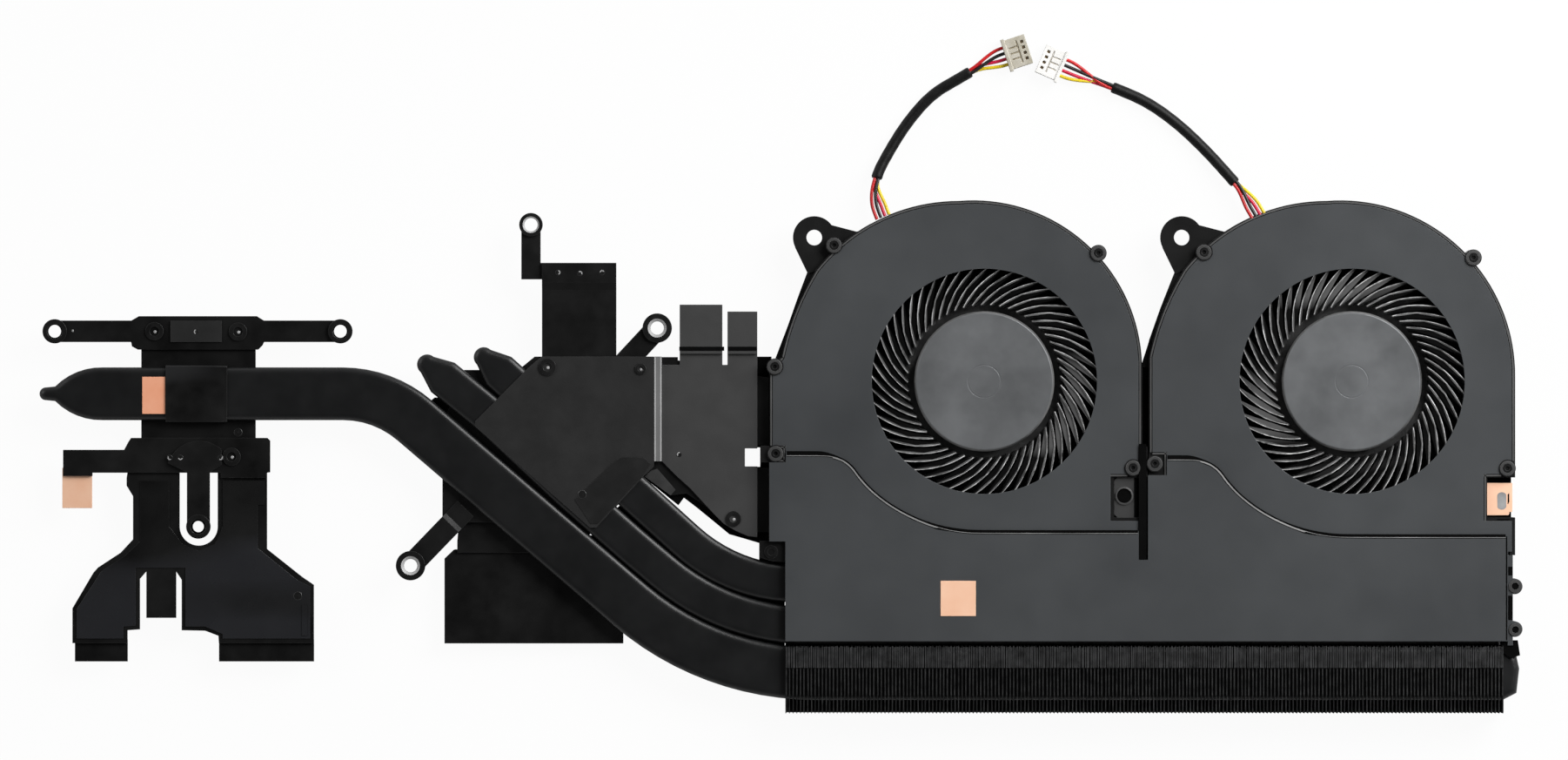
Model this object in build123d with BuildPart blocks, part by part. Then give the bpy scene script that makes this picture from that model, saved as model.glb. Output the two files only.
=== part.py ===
from build123d import *
import os
from math import atan2, cos, pi, radians, sin, tan

# Laptop cooler: two blower fans, a fin stack, three flat heat pipes and two cold-plate modules.
# Millimetres. It lies as photographed: +X right, +Y up the picture, +Z towards the viewer.
# The origin is under the middle of the cooler, on the face that it rests on.

os.makedirs("parts", exist_ok=True)

# Sheet and plate thicknesses
wall_t = 1.2
floor_t = 0.6
cover_t = 0.4
duct_t = 0.4
base_t = 1.2
cold_t = 1.2
arm_t = 0.7
memory_t = 0.8
film_t = 0.2
pad_t = 0.1
strap_t = 0.4
pipe_t = 2.2

# Levels above the resting face
frame_top = 9.0
cover_top = frame_top + cover_t
duct_top = cover_top + duct_t
pipe_low = 5.6
pipe_top = pipe_low + pipe_t
base_low = pipe_low - base_t
cold_low = base_low - cold_t
arm_top = pipe_low + arm_t
upper_arm_top = arm_top + arm_t

# Clearances
slip = 0.05
running_gap = 0.03
seat_gap = 0.4

# Fans: the axes, the rotor and the motor inside it
fan_pitch = 80.0
fan_axis_y = 16.4
left_axis_x = 44.3
right_axis_x = left_axis_x + fan_pitch
inlet_r = 24.5
hub_r = 15.25
hub_wall = 1.4
hub_top = 8.4
hub_cap_t = 1.2
rotor_low = 1.9
blade_count = 53
blade_root_r = 16.6
blade_tip_r = 29.0
blade_t = 0.35
blade_sweep = 2.67
blade_top = 8.2
blade_lean = 1.2
hub_mark_r = 3.2
hub_mark_w = 0.16
hub_mark_depth = 0.12
web_t = 0.6
web_r = 18.5
tip_ring_w = 1.0
yoke_t = 0.5
magnet_t = 1.2
magnet_h = 4.6
shaft_r = 1.0
sleeve_wall = 0.95
seat_wall = 0.9
stator_r = 11.6
stator_h = 2.8
stator_low = 2.6
pole_count = 9
pole_w = 1.8
coil_wrap = 0.55
board_t = 0.8
board_r = 12.8
cover_inset = 0.75
boss_r = 1.8
boss_rise = 0.4
screw_r = 1.0
screw_head_t = 0.5
ear_r = 4.65
ear_hole_r = 1.7
ear_low = 5.0
ear_t = 2.5
lug_t = 1.5
lug_low = 5.0
lug_hole_r = 1.35

# The leads and their way out of the fans
lead_d = 2.2
lead_low = 2.9
lead_slot_w = 4.6

# Fin stack
fin_left = 1.0
fin_pitch = 0.8
fin_count = 196
fin_t = 0.2
fin_back = -21.8
fin_front = -55.8
fin_top = cover_top
lip_back = -41.1
slot_front = -53.3
fin_length = fin_pitch * (fin_count - 1) + fin_t
fin_right = fin_left + fin_length

# Duct plate
duct_front = -40.1
duct_right = 158.2
fan_gap_left = 78.0
fan_gap_right = 79.9

# Heat pipes
long_pipe_w = 11.5
short_pipe_w = 8.2
pipe_edge_r = 1.0
pipe_end_x = 156.6


def finish(piece, name):
    """Labels a finished sub-part and writes its file."""
    piece.part.label = name
    export_step(piece.part, f"parts/{name}.step")


def level(z, x=0.0, y=0.0):
    """The horizontal plane at height z, with its origin over the point x, y."""
    return Plane((x, y, z))


def face_of(*points, mode=Mode.ADD):
    """Adds the flat shape with these corners to the sketch that is open, or takes it away."""
    with BuildLine() as rim:
        Polyline(*points, close=True)
    make_face(rim.edges(), mode=mode)


def rectangle(left, low, right, high, mode=Mode.ADD):
    """Adds the rectangle between two corners to the sketch that is open, or takes it away."""
    face_of((left, low), (right, low), (right, high), (left, high), mode=mode)


# The left fan's rib beside the right fan, whose nearest boss it leaves free
rib_w = 1.2
rib_gap = 0.2
rib_top_y = -14.2
near_boss = (-42.9, -17.9)

# Fan outline, about the fan's axis and seen from above
scroll_left = -44.2
outlet_y = -37.8
lobe_y = -34.8
lobe_left = -43.3
shoulder_y = 5.3
wall_top_y = 2.6
scroll_top = 39.25
scroll_top_x = -5.5
notch_depth = 6.1
notch_low = -29.6
notch_high = -20.9


def draw_scroll(left, right, right_y, bulge):
    """Adds one fan's outline: a left wall, three arcs that grow from right to left, and the outlet."""
    with BuildLine() as rim:
        Line((right, outlet_y), (right, right_y))
        ThreePointArc((right, right_y), bulge, (scroll_top_x, scroll_top))
        ThreePointArc((scroll_top_x, scroll_top), (-22.2, 35.6), (-36.6, 24.3))
        ThreePointArc((-36.6, 24.3), (-41.1, 15.4), (scroll_left, shoulder_y))
        Polyline((scroll_left, shoulder_y), (left, wall_top_y), (left, lobe_y), (lobe_left, lobe_y))
        Polyline((lobe_left, lobe_y), (lobe_left, outlet_y), (right, outlet_y))
    make_face(rim.edges())
    inner = right - notch_depth
    with BuildLine() as notch:
        Polyline(
            (inner, notch_low), (right, notch_low), (right, notch_high), (inner, notch_high), close=True,
        )
    make_face(notch.edges(), mode=Mode.SUBTRACT)


def blade_centre(radius):
    """The middle of a blade at this radius. Blades lean back against the turning direction."""
    turn = radians(-blade_sweep * (radius - blade_root_r))
    return radius * cos(turn), radius * sin(turn)


def blade_corners():
    """A blade's outline seen from above: up one side and down the other."""
    steps = 3
    radii = [blade_root_r + (blade_tip_r - blade_root_r) * i / steps for i in range(steps + 1)]
    sides = ([], [])
    for radius in radii:
        here = blade_centre(radius)
        ahead = blade_centre(radius + 0.1)
        along = atan2(ahead[1] - here[1], ahead[0] - here[0])
        shift = (-sin(along) * blade_t / 2, cos(along) * blade_t / 2)
        sides[0].append((here[0] + shift[0], here[1] + shift[1]))
        sides[1].append((here[0] - shift[0], here[1] - shift[1]))
    return sides[0] + sides[1][::-1]


def make_rotor(side, axis_x):
    """The parts that turn: impeller, steel yoke, magnet ring and shaft."""
    yoke_r = hub_r - hub_wall
    magnet_r = yoke_r - yoke_t
    cap_low = hub_top - hub_cap_t
    yoke_low = cap_low - magnet_h - yoke_t

    with BuildPart() as blade:
        with BuildSketch(level(rotor_low)):
            face_of(*blade_corners())
        rise = Vector(0, blade_lean, blade_top - rotor_low)
        extrude(amount=rise.length, dir=rise.normalized())

    with BuildPart() as impeller:
        with BuildSketch(level(rotor_low, axis_x, fan_axis_y)):
            Circle(hub_r)
        extrude(amount=hub_top - rotor_low)
        chamfer(impeller.faces().sort_by(Axis.Z)[-1].edges(), 0.4)
        with BuildSketch(level(rotor_low, axis_x, fan_axis_y)):
            Circle(yoke_r)
        extrude(amount=cap_low - rotor_low, mode=Mode.SUBTRACT)
        with BuildSketch(level(cap_low, axis_x, fan_axis_y)):
            Circle(shaft_r)
        extrude(amount=hub_cap_t - seat_gap, mode=Mode.SUBTRACT)
        with BuildSketch(level(rotor_low, axis_x, fan_axis_y)):
            Circle(blade_tip_r)
            Circle(blade_tip_r - tip_ring_w, mode=Mode.SUBTRACT)
            Circle(web_r)
            Circle(hub_r - hub_wall / 2, mode=Mode.SUBTRACT)
        extrude(amount=web_t)
        with BuildSketch(level(hub_top, axis_x, fan_axis_y)):
            Circle(hub_mark_r + hub_mark_w / 2)
            Circle(hub_mark_r - hub_mark_w / 2, mode=Mode.SUBTRACT)
        extrude(amount=-hub_mark_depth, mode=Mode.SUBTRACT)
        with Locations((axis_x, fan_axis_y, 0)):
            with PolarLocations(0, blade_count):
                add(blade.part)
    print(side, "impeller solids", len(impeller.solids()), "volume", round(impeller.part.volume, 1))
    finish(impeller, f"{side}_impeller")

    with BuildPart() as yoke:
        with BuildSketch(level(yoke_low, axis_x, fan_axis_y)):
            Circle(yoke_r)
        extrude(amount=cap_low - yoke_low)
        with BuildSketch(level(yoke_low, axis_x, fan_axis_y)):
            Circle(magnet_r)
        extrude(amount=magnet_h, mode=Mode.SUBTRACT)
        with BuildSketch(level(yoke_low, axis_x, fan_axis_y)):
            Circle(shaft_r)
        extrude(amount=cap_low - yoke_low, mode=Mode.SUBTRACT)
    finish(yoke, f"{side}_rotor_yoke")

    with BuildPart() as magnet:
        with BuildSketch(level(yoke_low, axis_x, fan_axis_y)):
            Circle(magnet_r)
            Circle(magnet_r - magnet_t, mode=Mode.SUBTRACT)
        extrude(amount=magnet_h)
    finish(magnet, f"{side}_magnet_ring")

    with BuildPart() as shaft:
        with BuildSketch(level(floor_t + seat_gap, axis_x, fan_axis_y)):
            Circle(shaft_r)
        extrude(amount=hub_top - 2 * seat_gap - floor_t)
    finish(shaft, f"{side}_rotor_shaft")


def make_stator(side, axis_x):
    """What the rotor turns on and around: bearing sleeve, laminated core, coils and motor board."""
    sleeve_bore = shaft_r + running_gap
    sleeve_r = sleeve_bore + sleeve_wall
    core_r = sleeve_r + slip + seat_wall + slip
    cap_low = hub_top - hub_cap_t
    ring_r = core_r + 1.6

    with BuildPart() as sleeve:
        with BuildSketch(level(floor_t, axis_x, fan_axis_y)):
            Circle(sleeve_r)
            Circle(sleeve_bore, mode=Mode.SUBTRACT)
        extrude(amount=cap_low - yoke_t - seat_gap - floor_t)
    finish(sleeve, f"{side}_bearing_sleeve")

    with BuildPart() as core:
        with BuildSketch(level(stator_low, axis_x, fan_axis_y)):
            Circle(ring_r)
            with PolarLocations((ring_r + stator_r - 1.0) / 2, pole_count):
                Rectangle(stator_r - ring_r, pole_w)
            with PolarLocations(stator_r - 0.6, pole_count):
                Rectangle(1.2, 6.0)
            Circle(core_r, mode=Mode.SUBTRACT)
        extrude(amount=stator_h)
    finish(core, f"{side}_stator_core")

    with BuildPart() as coils:
        with BuildSketch(level(stator_low - coil_wrap, axis_x, fan_axis_y)):
            with PolarLocations((ring_r + stator_r - 1.2) / 2, pole_count):
                Rectangle(stator_r - 1.2 - ring_r - 4 * slip, pole_w + 2 * coil_wrap)
        extrude(amount=stator_h + 2 * coil_wrap)
        with BuildSketch(level(stator_low - slip, axis_x, fan_axis_y)):
            with PolarLocations((ring_r + stator_r) / 2, pole_count):
                Rectangle(stator_r - ring_r, pole_w + 2 * slip)
        extrude(amount=stator_h + 2 * slip, mode=Mode.SUBTRACT)
    finish(coils, f"{side}_stator_coils")

    with BuildPart() as board:
        with BuildSketch(level(floor_t, axis_x, fan_axis_y)):
            Circle(board_r)
            Circle(core_r, mode=Mode.SUBTRACT)
        extrude(amount=board_t)
    finish(board, f"{side}_motor_board")


def make_fan(side, axis_x, left, right, right_y, bulge, bosses, tab, lead_angle):
    """One blower: the frame, its cover sheet, the screws, the rotor and the motor."""
    sleeve_r = shaft_r + running_gap + sleeve_wall
    seat_bore = sleeve_r + slip
    ear = (-37.0, 31.3)
    lug = (right - notch_depth / 2 - 0.4, (notch_low + notch_high) / 2)
    outline = (left, right, right_y, bulge)

    with BuildPart() as frame:
        with BuildSketch(level(0, axis_x, fan_axis_y)):
            draw_scroll(*outline)
        extrude(amount=frame_top)
        with BuildSketch(level(floor_t, axis_x, fan_axis_y)):
            draw_scroll(*outline)
            offset(amount=-wall_t, kind=Kind.INTERSECTION)
        extrude(amount=frame_top - floor_t, mode=Mode.SUBTRACT)
        with BuildSketch(level(floor_t, axis_x, fan_axis_y)):
            rectangle(lobe_left + wall_t, outlet_y - slip, right - wall_t, outlet_y + 2 * wall_t)
        extrude(amount=frame_top - floor_t, mode=Mode.SUBTRACT)
        # Seat for the bearing sleeve
        with BuildSketch(level(floor_t, axis_x, fan_axis_y)):
            Circle(seat_bore + seat_wall)
            Circle(seat_bore, mode=Mode.SUBTRACT)
        extrude(amount=stator_low + stator_h - floor_t)
        # Mounting ear with its neck
        with BuildSketch(level(ear_low, axis_x, fan_axis_y)):
            with Locations(ear):
                Circle(ear_r)
            face_of(
                (-41.2, 29.2), (-38.4, 23.4), (-33.5, 25.5),
                (-26.0, 33.0), (-27.8, 32.6), (-33.2, 34.0),
            )
        extrude(amount=ear_t)
        with BuildSketch(level(ear_low, axis_x, fan_axis_y)):
            with Locations(ear):
                Circle(ear_hole_r)
        extrude(amount=ear_t, mode=Mode.SUBTRACT)
        # Screw bosses on the rim
        with BuildSketch(level(0, axis_x, fan_axis_y)):
            with Locations(*bosses):
                Circle(boss_r)
        extrude(amount=cover_top + boss_rise)
        # Low square tab beside the outlet, and the sunk lug in the notch
        with BuildSketch(level(0, axis_x, fan_axis_y)):
            rectangle(*tab)
        extrude(amount=frame_top)
        with BuildSketch(level(cover_top + boss_rise - screw_head_t, axis_x, fan_axis_y)):
            with Locations(*bosses):
                Circle(screw_r + slip)
        extrude(amount=screw_head_t, mode=Mode.SUBTRACT)
        if side == "left_fan":
            with BuildSketch(level(lug_low, axis_x, fan_axis_y)):
                rectangle(right - notch_depth - slip, notch_low - slip, right, notch_high + slip)
                with Locations(lug):
                    Circle(lug_hole_r, mode=Mode.SUBTRACT)
            extrude(amount=lug_t)
            # Rib that fills most of the gap between the fans, cut back round the other fan's boss
            with BuildSketch(level(0, axis_x, fan_axis_y)):
                rectangle(right - wall_t / 2, outlet_y, right + rib_w, rib_top_y)
                with Locations((fan_pitch + near_boss[0], near_boss[1])):
                    Circle(boss_r + rib_gap, mode=Mode.SUBTRACT)
            extrude(amount=frame_top)
        # Way out for the lead
        with BuildSketch(level(lead_low, axis_x, fan_axis_y)):
            with Locations(Location((scroll_top_x, 0), lead_angle)):
                with Locations((scroll_top, 0)):
                    Rectangle(4 * wall_t, lead_slot_w)
        extrude(amount=frame_top - lead_low, mode=Mode.SUBTRACT)
    finish(frame, f"{side}_frame")

    with BuildPart() as cover:
        with BuildSketch(level(frame_top, axis_x, fan_axis_y)):
            draw_scroll(*outline)
            offset(amount=-cover_inset, kind=Kind.INTERSECTION)
            Circle(inlet_r, mode=Mode.SUBTRACT)
            with Locations(*bosses):
                Circle(boss_r + slip, mode=Mode.SUBTRACT)
            with Locations(((tab[0] + tab[2]) / 2, (tab[1] + tab[3]) / 2)):
                Rectangle(tab[2] - tab[0], tab[3] - tab[1], mode=Mode.SUBTRACT)
        extrude(amount=cover_t)
    finish(cover, f"{side}_cover")

    with BuildPart() as screws:
        with BuildSketch(level(cover_top + boss_rise - screw_head_t, axis_x, fan_axis_y)):
            with Locations(*bosses):
                Circle(screw_r)
                RegularPolygon(screw_r / 2, 6, mode=Mode.SUBTRACT)
        extrude(amount=screw_head_t - slip)
    finish(screws, f"{side}_screws")

    make_rotor(side, axis_x)
    make_stator(side, axis_x)


# The left fan has a lobe on its left wall, the right fan a flatter right wall
left_fan_left = -46.8
left_fan_right = 34.3
right_fan_right = 35.5
make_fan(
    side="left_fan",
    axis_x=left_axis_x,
    left=left_fan_left,
    right=left_fan_right,
    right_y=4.1,
    bulge=(23.7, 28.5),
    bosses=[(-32.7, 29.6), (24.8, 27.9), (-45.6, 3.2), (-45.4, -15.7), (32.35, -18.8)],
    tab=(-48.7, -17.6, -43.2, -14.0),
    lead_angle=116.0,
)
make_fan(
    side="right_fan",
    axis_x=right_axis_x,
    left=scroll_left,
    right=right_fan_right,
    right_y=1.0,
    bulge=(24.0, 28.6),
    bosses=[(-32.2, 28.1), (26.4, 26.9), near_boss, (33.8, -18.9)],
    tab=(-44.2, -20.4, -40.3, -15.4),
    lead_angle=112.0,
)

# The fin stack: folded fins on a bottom sheet, cut back for the pipes, with a lip over the long one
with BuildPart() as fin_stack:
    with BuildSketch(Plane.XZ.offset(-fin_back)):
        with Locations((fin_left + fin_length / 2, fin_top / 2)):
            with GridLocations(fin_pitch, 0, fin_count, 1):
                Rectangle(fin_t, fin_top)
        rectangle(fin_left, 0, fin_right, fin_t)
    extrude(amount=fin_back - fin_front)
    with BuildSketch(level(pipe_low)):
        rectangle(fin_left - slip, lip_back, fin_right + slip, fin_back + slip)
    extrude(amount=fin_top - pipe_low + slip, mode=Mode.SUBTRACT)
    with BuildSketch(level(pipe_low)):
        rectangle(fin_left - slip, slot_front, fin_right + slip, lip_back + slip)
    extrude(amount=pipe_t + slip, mode=Mode.SUBTRACT)
finish(fin_stack, "fin_stack")

# The duct plate: covers the fan outlets and the pipes as far as the fins' lip
left_curve_y = fan_axis_y - 15.4
right_curve_y = fan_axis_y - 16.3


def outlet_curve(axis_x, start_y):
    """The plate's upper edge beside one fan, an S that runs round the inlet into a straight line."""
    drop = start_y - (fan_axis_y - 15.4)
    points = [(-33.9, 1.0), (-29.6, -1.2), (-25.8, -6.5), (-17.1, -13.5), (-5.8, -16.2)]
    return [(axis_x + x, y + drop) for x, y in points]


left_curve = outlet_curve(left_axis_x, left_curve_y)
right_curve = outlet_curve(right_axis_x, right_curve_y)
lobe_x = left_axis_x + left_fan_left
lobe_low = fan_axis_y + lobe_y
tab_low = fan_axis_y - 17.6
tab_right = 1.1
right_tab_x = 84.0
right_tab_low = fan_axis_y - 20.4
slot_end = -22.4
with BuildPart() as duct_plate:
    with BuildSketch(level(cover_top)):
        with BuildLine():
            Polyline(
                (lobe_x, lobe_low), (lobe_x, tab_low), (tab_right, tab_low),
                (tab_right, left_curve[0][1]), left_curve[0],
            )
            Spline(*left_curve, tangents=[(1, 0), (1, 0)])
            Polyline(
                left_curve[-1], (fan_gap_left, left_curve[-1][1]), (fan_gap_left, slot_end),
                (fan_gap_right, slot_end), (fan_gap_right, right_tab_low), (right_tab_x, right_tab_low),
                (right_tab_x, right_curve[0][1]), right_curve[0],
            )
            Spline(*right_curve, tangents=[(1, 0), (1, 0)])
            Polyline(
                right_curve[-1], (duct_right, right_curve[-1][1]), (duct_right, duct_front),
                (fin_left, duct_front), (fin_left, lobe_low), (lobe_x, lobe_low),
            )
        make_face()
    extrude(amount=duct_t)
    with BuildSketch(level(pipe_top)):
        rectangle(fin_left, duct_front, duct_right - seat_gap, duct_front + duct_t)
    extrude(amount=cover_top - pipe_top)
finish(duct_plate, "duct_cover_plate")

duct_pad_w = 7.7
duct_pad_x = 38.6
duct_pad_y = -30.8
with BuildPart() as duct_pad:
    with BuildSketch(level(duct_top, duct_pad_x, duct_pad_y)):
        Rectangle(duct_pad_w, duct_pad_w)
    extrude(amount=pad_t)
finish(duct_pad, "duct_copper_pad")

# Right end of the duct, with two small bosses, and the bare clip in the right fan's notch
rail_low_y = -41.0
rail_x = duct_right
rail_w = 1.1
rail_boss_r = 1.7
with BuildPart() as duct_end:
    with BuildSketch(level(0)):
        rectangle(rail_x, rail_low_y, rail_x + rail_w, fan_axis_y + outlet_y - slip)
        with Locations((rail_x + rail_w + 0.4, -28.2), (rail_x + rail_w + 0.4, -37.5)):
            Circle(rail_boss_r)
    extrude(amount=frame_top)
finish(duct_end, "duct_end_rail")

clip_w = 5.5
clip_h = 6.3
clip_t = 0.6
clip_low = 7.4
clip_hole_x = 1.1
clip_x = right_axis_x + right_fan_right - notch_depth
clip_y = fan_axis_y + (notch_low + notch_high) / 2
with BuildPart() as clip:
    with BuildSketch(level(clip_low, clip_x + clip_w / 2 + slip, clip_y)):
        Rectangle(clip_w, clip_h)
        with Locations((clip_hole_x, 0)):
            SlotOverall(3.4, 1.9, rotation=90, mode=Mode.SUBTRACT)
        with Locations((-clip_w / 2, 0)):
            Rectangle(0.8, 3.4, mode=Mode.SUBTRACT)
    extrude(amount=clip_t)
finish(clip, "right_fan_copper_clip")

# Heat pipes: flattened tubes in one plane, drawn along their middles
tip_length = 6.6
tip_half = 2.2


def pipe_face(points, radii, width):
    """Adds a pipe's shape seen from above: its middle line with the bends, at full width."""
    with BuildLine() as middle:
        FilletPolyline(*points, radius=radii)
    trace(middle.edges(), line_width=width)


def tip_face(start, bend, width):
    """Adds the tapered, sealed end of a short pipe that comes to start from the bend."""
    angle = atan2(start[1] - bend[1], start[0] - bend[0])
    ahead = (cos(angle), sin(angle))
    aside = (-sin(angle), cos(angle))

    def at(along, across):
        return (
            start[0] + along * ahead[0] + across * aside[0],
            start[1] + along * ahead[1] + across * aside[1],
        )

    round_start = tip_length - tip_half
    with BuildLine() as rim:
        Polyline(at(0, tip_half), at(0, width / 2), at(round_start, tip_half))
        ThreePointArc(at(round_start, tip_half), at(tip_length, 0), at(round_start, -tip_half))
        Polyline(at(round_start, -tip_half), at(0, -width / 2), at(0, tip_half))
    make_face(rim.edges())


def round_pipe(pipe):
    """Rounds the long edges of a flattened pipe."""
    rims = pipe.faces().filter_by(Axis.Z).edges()
    fillet(rims, pipe_edge_r)


long_pipe_y = 13.7
long_pipe_end_y = -47.2
long_nose_x = -147.6
long_pipe_end_x = 157.2
long_half = long_pipe_w / 2


def nose(reach, half):
    """A point on the long pipe's sealed nose, from its reach and its distance from the middle."""
    return long_nose_x - reach, long_pipe_y + half


with BuildPart() as long_pipe:
    with BuildSketch(level(pipe_low)):
        pipe_face(
            [
                (long_nose_x, long_pipe_y), (-86.5, long_pipe_y),
                (-15.3, long_pipe_end_y), (long_pipe_end_x, long_pipe_end_y),
            ],
            [24.0, 62.0],
            long_pipe_w,
        )
        with BuildLine():
            ThreePointArc(nose(0, long_half), nose(6.0, 4.6), nose(10.4, 1.6))
            Line(nose(10.4, 1.6), nose(12.4, 1.4))
            ThreePointArc(nose(12.4, 1.4), nose(13.8, 0), nose(12.4, -1.4))
            Line(nose(12.4, -1.4), nose(10.4, -1.6))
            ThreePointArc(nose(10.4, -1.6), nose(6.0, -4.6), nose(0, -long_half))
            Line(nose(0, -long_half), nose(0, long_half))
        make_face()
        face_of(
            (long_pipe_end_x, long_pipe_end_y + long_half), (160.2, -43.4), (160.8, -46.1),
            (160.2, -51.4), (long_pipe_end_x, long_pipe_end_y - long_half),
        )
    extrude(amount=pipe_t)
    round_pipe(long_pipe)
finish(long_pipe, "long_heat_pipe")

middle_start = (-73.6, 17.3)
middle_bend = (-63.3, 8.9)
middle_bends = [(-46.0, -7.3), (-32.5, -19.2)]
middle_pipe_end_y = -36.8
with BuildPart() as middle_pipe:
    with BuildSketch(level(pipe_low)):
        pipe_face(
            [
                middle_start, middle_bend, *middle_bends,
                (-11.6, middle_pipe_end_y), (pipe_end_x, middle_pipe_end_y),
            ],
            [30.0, 60.0, 200.0, 50.0],
            short_pipe_w,
        )
        tip_face(middle_start, middle_bend, short_pipe_w)
    extrude(amount=pipe_t)
    round_pipe(middle_pipe)
finish(middle_pipe, "middle_heat_pipe")

upper_start = (-61.4, 18.7)
upper_pipe_end_y = -27.6
upper_bend = (-10.3, upper_pipe_end_y)
with BuildPart() as upper_pipe:
    with BuildSketch(level(pipe_low)):
        pipe_face([upper_start, upper_bend, (pipe_end_x, upper_pipe_end_y)], [36.0], short_pipe_w)
        tip_face(upper_start, upper_bend, short_pipe_w)
    extrude(amount=pipe_t)
    round_pipe(upper_pipe)
finish(upper_pipe, "upper_heat_pipe")


# Spring arms end in collars for captive screws
collar_t = 0.8
collar_wall = 0.45
left_bore_r = 1.6
left_ring_r = 2.65
centre_bore_r = 1.45
centre_ring_r = 3.2
small_ring_r = 2.56


def collar(place, low, bore, ring, sink=0.1):
    """Adds one collar: a flange on the arm, a spigot through the arm's hole and a chamfered bore."""
    with BuildSketch(Plane((*place, low), x_dir=(1, 0, 0), z_dir=(0, -1, 0))) as section:
        face_of(
            (bore, -arm_t), (bore + collar_wall, -arm_t), (bore + collar_wall, 0),
            (ring, 0), (ring, collar_t), (bore + sink, collar_t), (bore, collar_t - sink),
        )
    revolve(section.sketch, axis=Axis((*place, 0), (0, 0, 1)))


# Left module: its base plate, cold plate, spring arms and memory plate
left_x = -126.85
left_y = long_pipe_y
left_base_w = 24.9
left_base_low = -2.0
left_base_high = 29.2
left_cold_w = 20.0
with BuildPart() as left_base_plate:
    with BuildSketch(level(base_low, left_x, (left_base_low + left_base_high) / 2)):
        Rectangle(left_base_w, left_base_high - left_base_low)
    extrude(amount=base_t)
finish(left_base_plate, "left_base_plate")

with BuildPart() as left_cold_plate:
    with BuildSketch(level(cold_low, left_x, left_y)):
        Rectangle(left_cold_w, left_cold_w)
    extrude(amount=cold_t)
    chamfer(left_cold_plate.edges().filter_by(Axis.Z), 1.0)
finish(left_cold_plate, "left_cold_plate")

upper_arm_y = 27.3
upper_arm_w = 4.7
upper_ring_left = (-158.1, upper_arm_y)
upper_ring_right = (-95.9, upper_arm_y)
rivet_r = 2.0
rivet_t = 0.35
stiffener_t = 0.3
with BuildPart() as left_upper_arm:
    with BuildSketch(level(pipe_low)):
        with Locations(((upper_ring_left[0] + upper_ring_right[0]) / 2, upper_arm_y)):
            Rectangle(upper_ring_right[0] - upper_ring_left[0], upper_arm_w)
        face_of(
            (-141.5, 29.6), (-139.8, 30.6), (-114.1, 30.6), (-112.5, 29.6), (-112.5, 25.0),
            (-112.9, 24.2), (-113.8, 23.3), (-140.0, 23.3), (-141.3, 24.0), (-141.5, 25.0),
        )
        with Locations(upper_ring_left, upper_ring_right):
            Circle(left_ring_r)
        with Locations(upper_ring_left, upper_ring_right):
            Circle(left_bore_r + collar_wall + slip, mode=Mode.SUBTRACT)
    extrude(amount=arm_t)
    with BuildSketch(level(arm_top, left_x - 0.45, upper_arm_y)):
        Rectangle(11.0, 4.5)
    extrude(amount=stiffener_t)
finish(left_upper_arm, "left_upper_spring_arm")

finger_ring = (-126.8, -15.2)
finger_half = 2.5
with BuildPart() as left_lower_bar:
    with BuildSketch(level(pipe_low)):
        face_of(
            (-141.5, 4.1), (-111.8, 4.1), (-111.2, 3.5), (-111.2, -3.4), (-112.0, -3.5),
            (-112.0, -4.6), (-122.0, -4.6), (-122.0, -3.5), (-149.9, -3.5), (-149.9, -4.2),
            (-156.3, -4.2), (-156.3, 1.5), (-143.0, 1.5), (-142.1, 3.2),
        )
    extrude(amount=arm_t)
finish(left_lower_bar, "left_lower_bar")

with BuildPart() as left_finger:
    with BuildSketch(level(arm_top)):
        with BuildLine():
            Polyline(
                (-133.4, -1.4),
                (finger_ring[0] - finger_half, -3.4),
                (finger_ring[0] - finger_half, finger_ring[1]),
                (finger_ring[0] + finger_half, finger_ring[1]),
                (finger_ring[0] + finger_half, -3.4),
                (-121.8, -1.8),
                (-121.8, 1.6),
            )
            ThreePointArc((-121.8, 1.6), (-127.6, 3.4), (-133.4, -1.4))
        make_face()
        with Locations(finger_ring):
            Circle(left_ring_r)
            Circle(left_bore_r + collar_wall + slip, mode=Mode.SUBTRACT)
    extrude(amount=arm_t)
finish(left_finger, "left_finger_arm")

with BuildPart() as left_collars:
    collar(upper_ring_left, arm_top, left_bore_r, left_ring_r)
    collar(upper_ring_right, arm_top, left_bore_r, left_ring_r)
    collar(finger_ring, upper_arm_top, left_bore_r, left_ring_r)
finish(left_collars, "left_screw_collars")

with BuildPart() as left_rivets:
    with BuildSketch(level(arm_top)):
        with Locations((-136.4, 27.3), (-118.2, 27.2), (-119.6, 0.0)):
            Circle(rivet_r)
            Circle(rivet_r / 2, mode=Mode.SUBTRACT)
    extrude(amount=rivet_t)
finish(left_rivets, "left_rivets")

saddle_left = -133.9
saddle_right = -120.5
saddle_in = long_pipe_w / 2 + slip
with BuildPart() as left_saddle:
    with BuildSketch(Plane((saddle_left, left_y, pipe_low), x_dir=(0, 1, 0), z_dir=(1, 0, 0))):
        with BuildLine():
            Polyline(
                (-saddle_in - strap_t, 0), (-saddle_in - strap_t, pipe_t + slip + strap_t),
                (saddle_in + strap_t, pipe_t + slip + strap_t), (saddle_in + strap_t, 0),
                (saddle_in, 0), (saddle_in, pipe_t + slip),
                (-saddle_in, pipe_t + slip), (-saddle_in, 0), close=True,
            )
        make_face()
    extrude(amount=saddle_right - saddle_left)
    fillet(left_saddle.faces().sort_by(Axis.Z)[-1].edges().filter_by(Axis.X), strap_t)
finish(left_saddle, "left_pipe_saddle")

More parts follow.
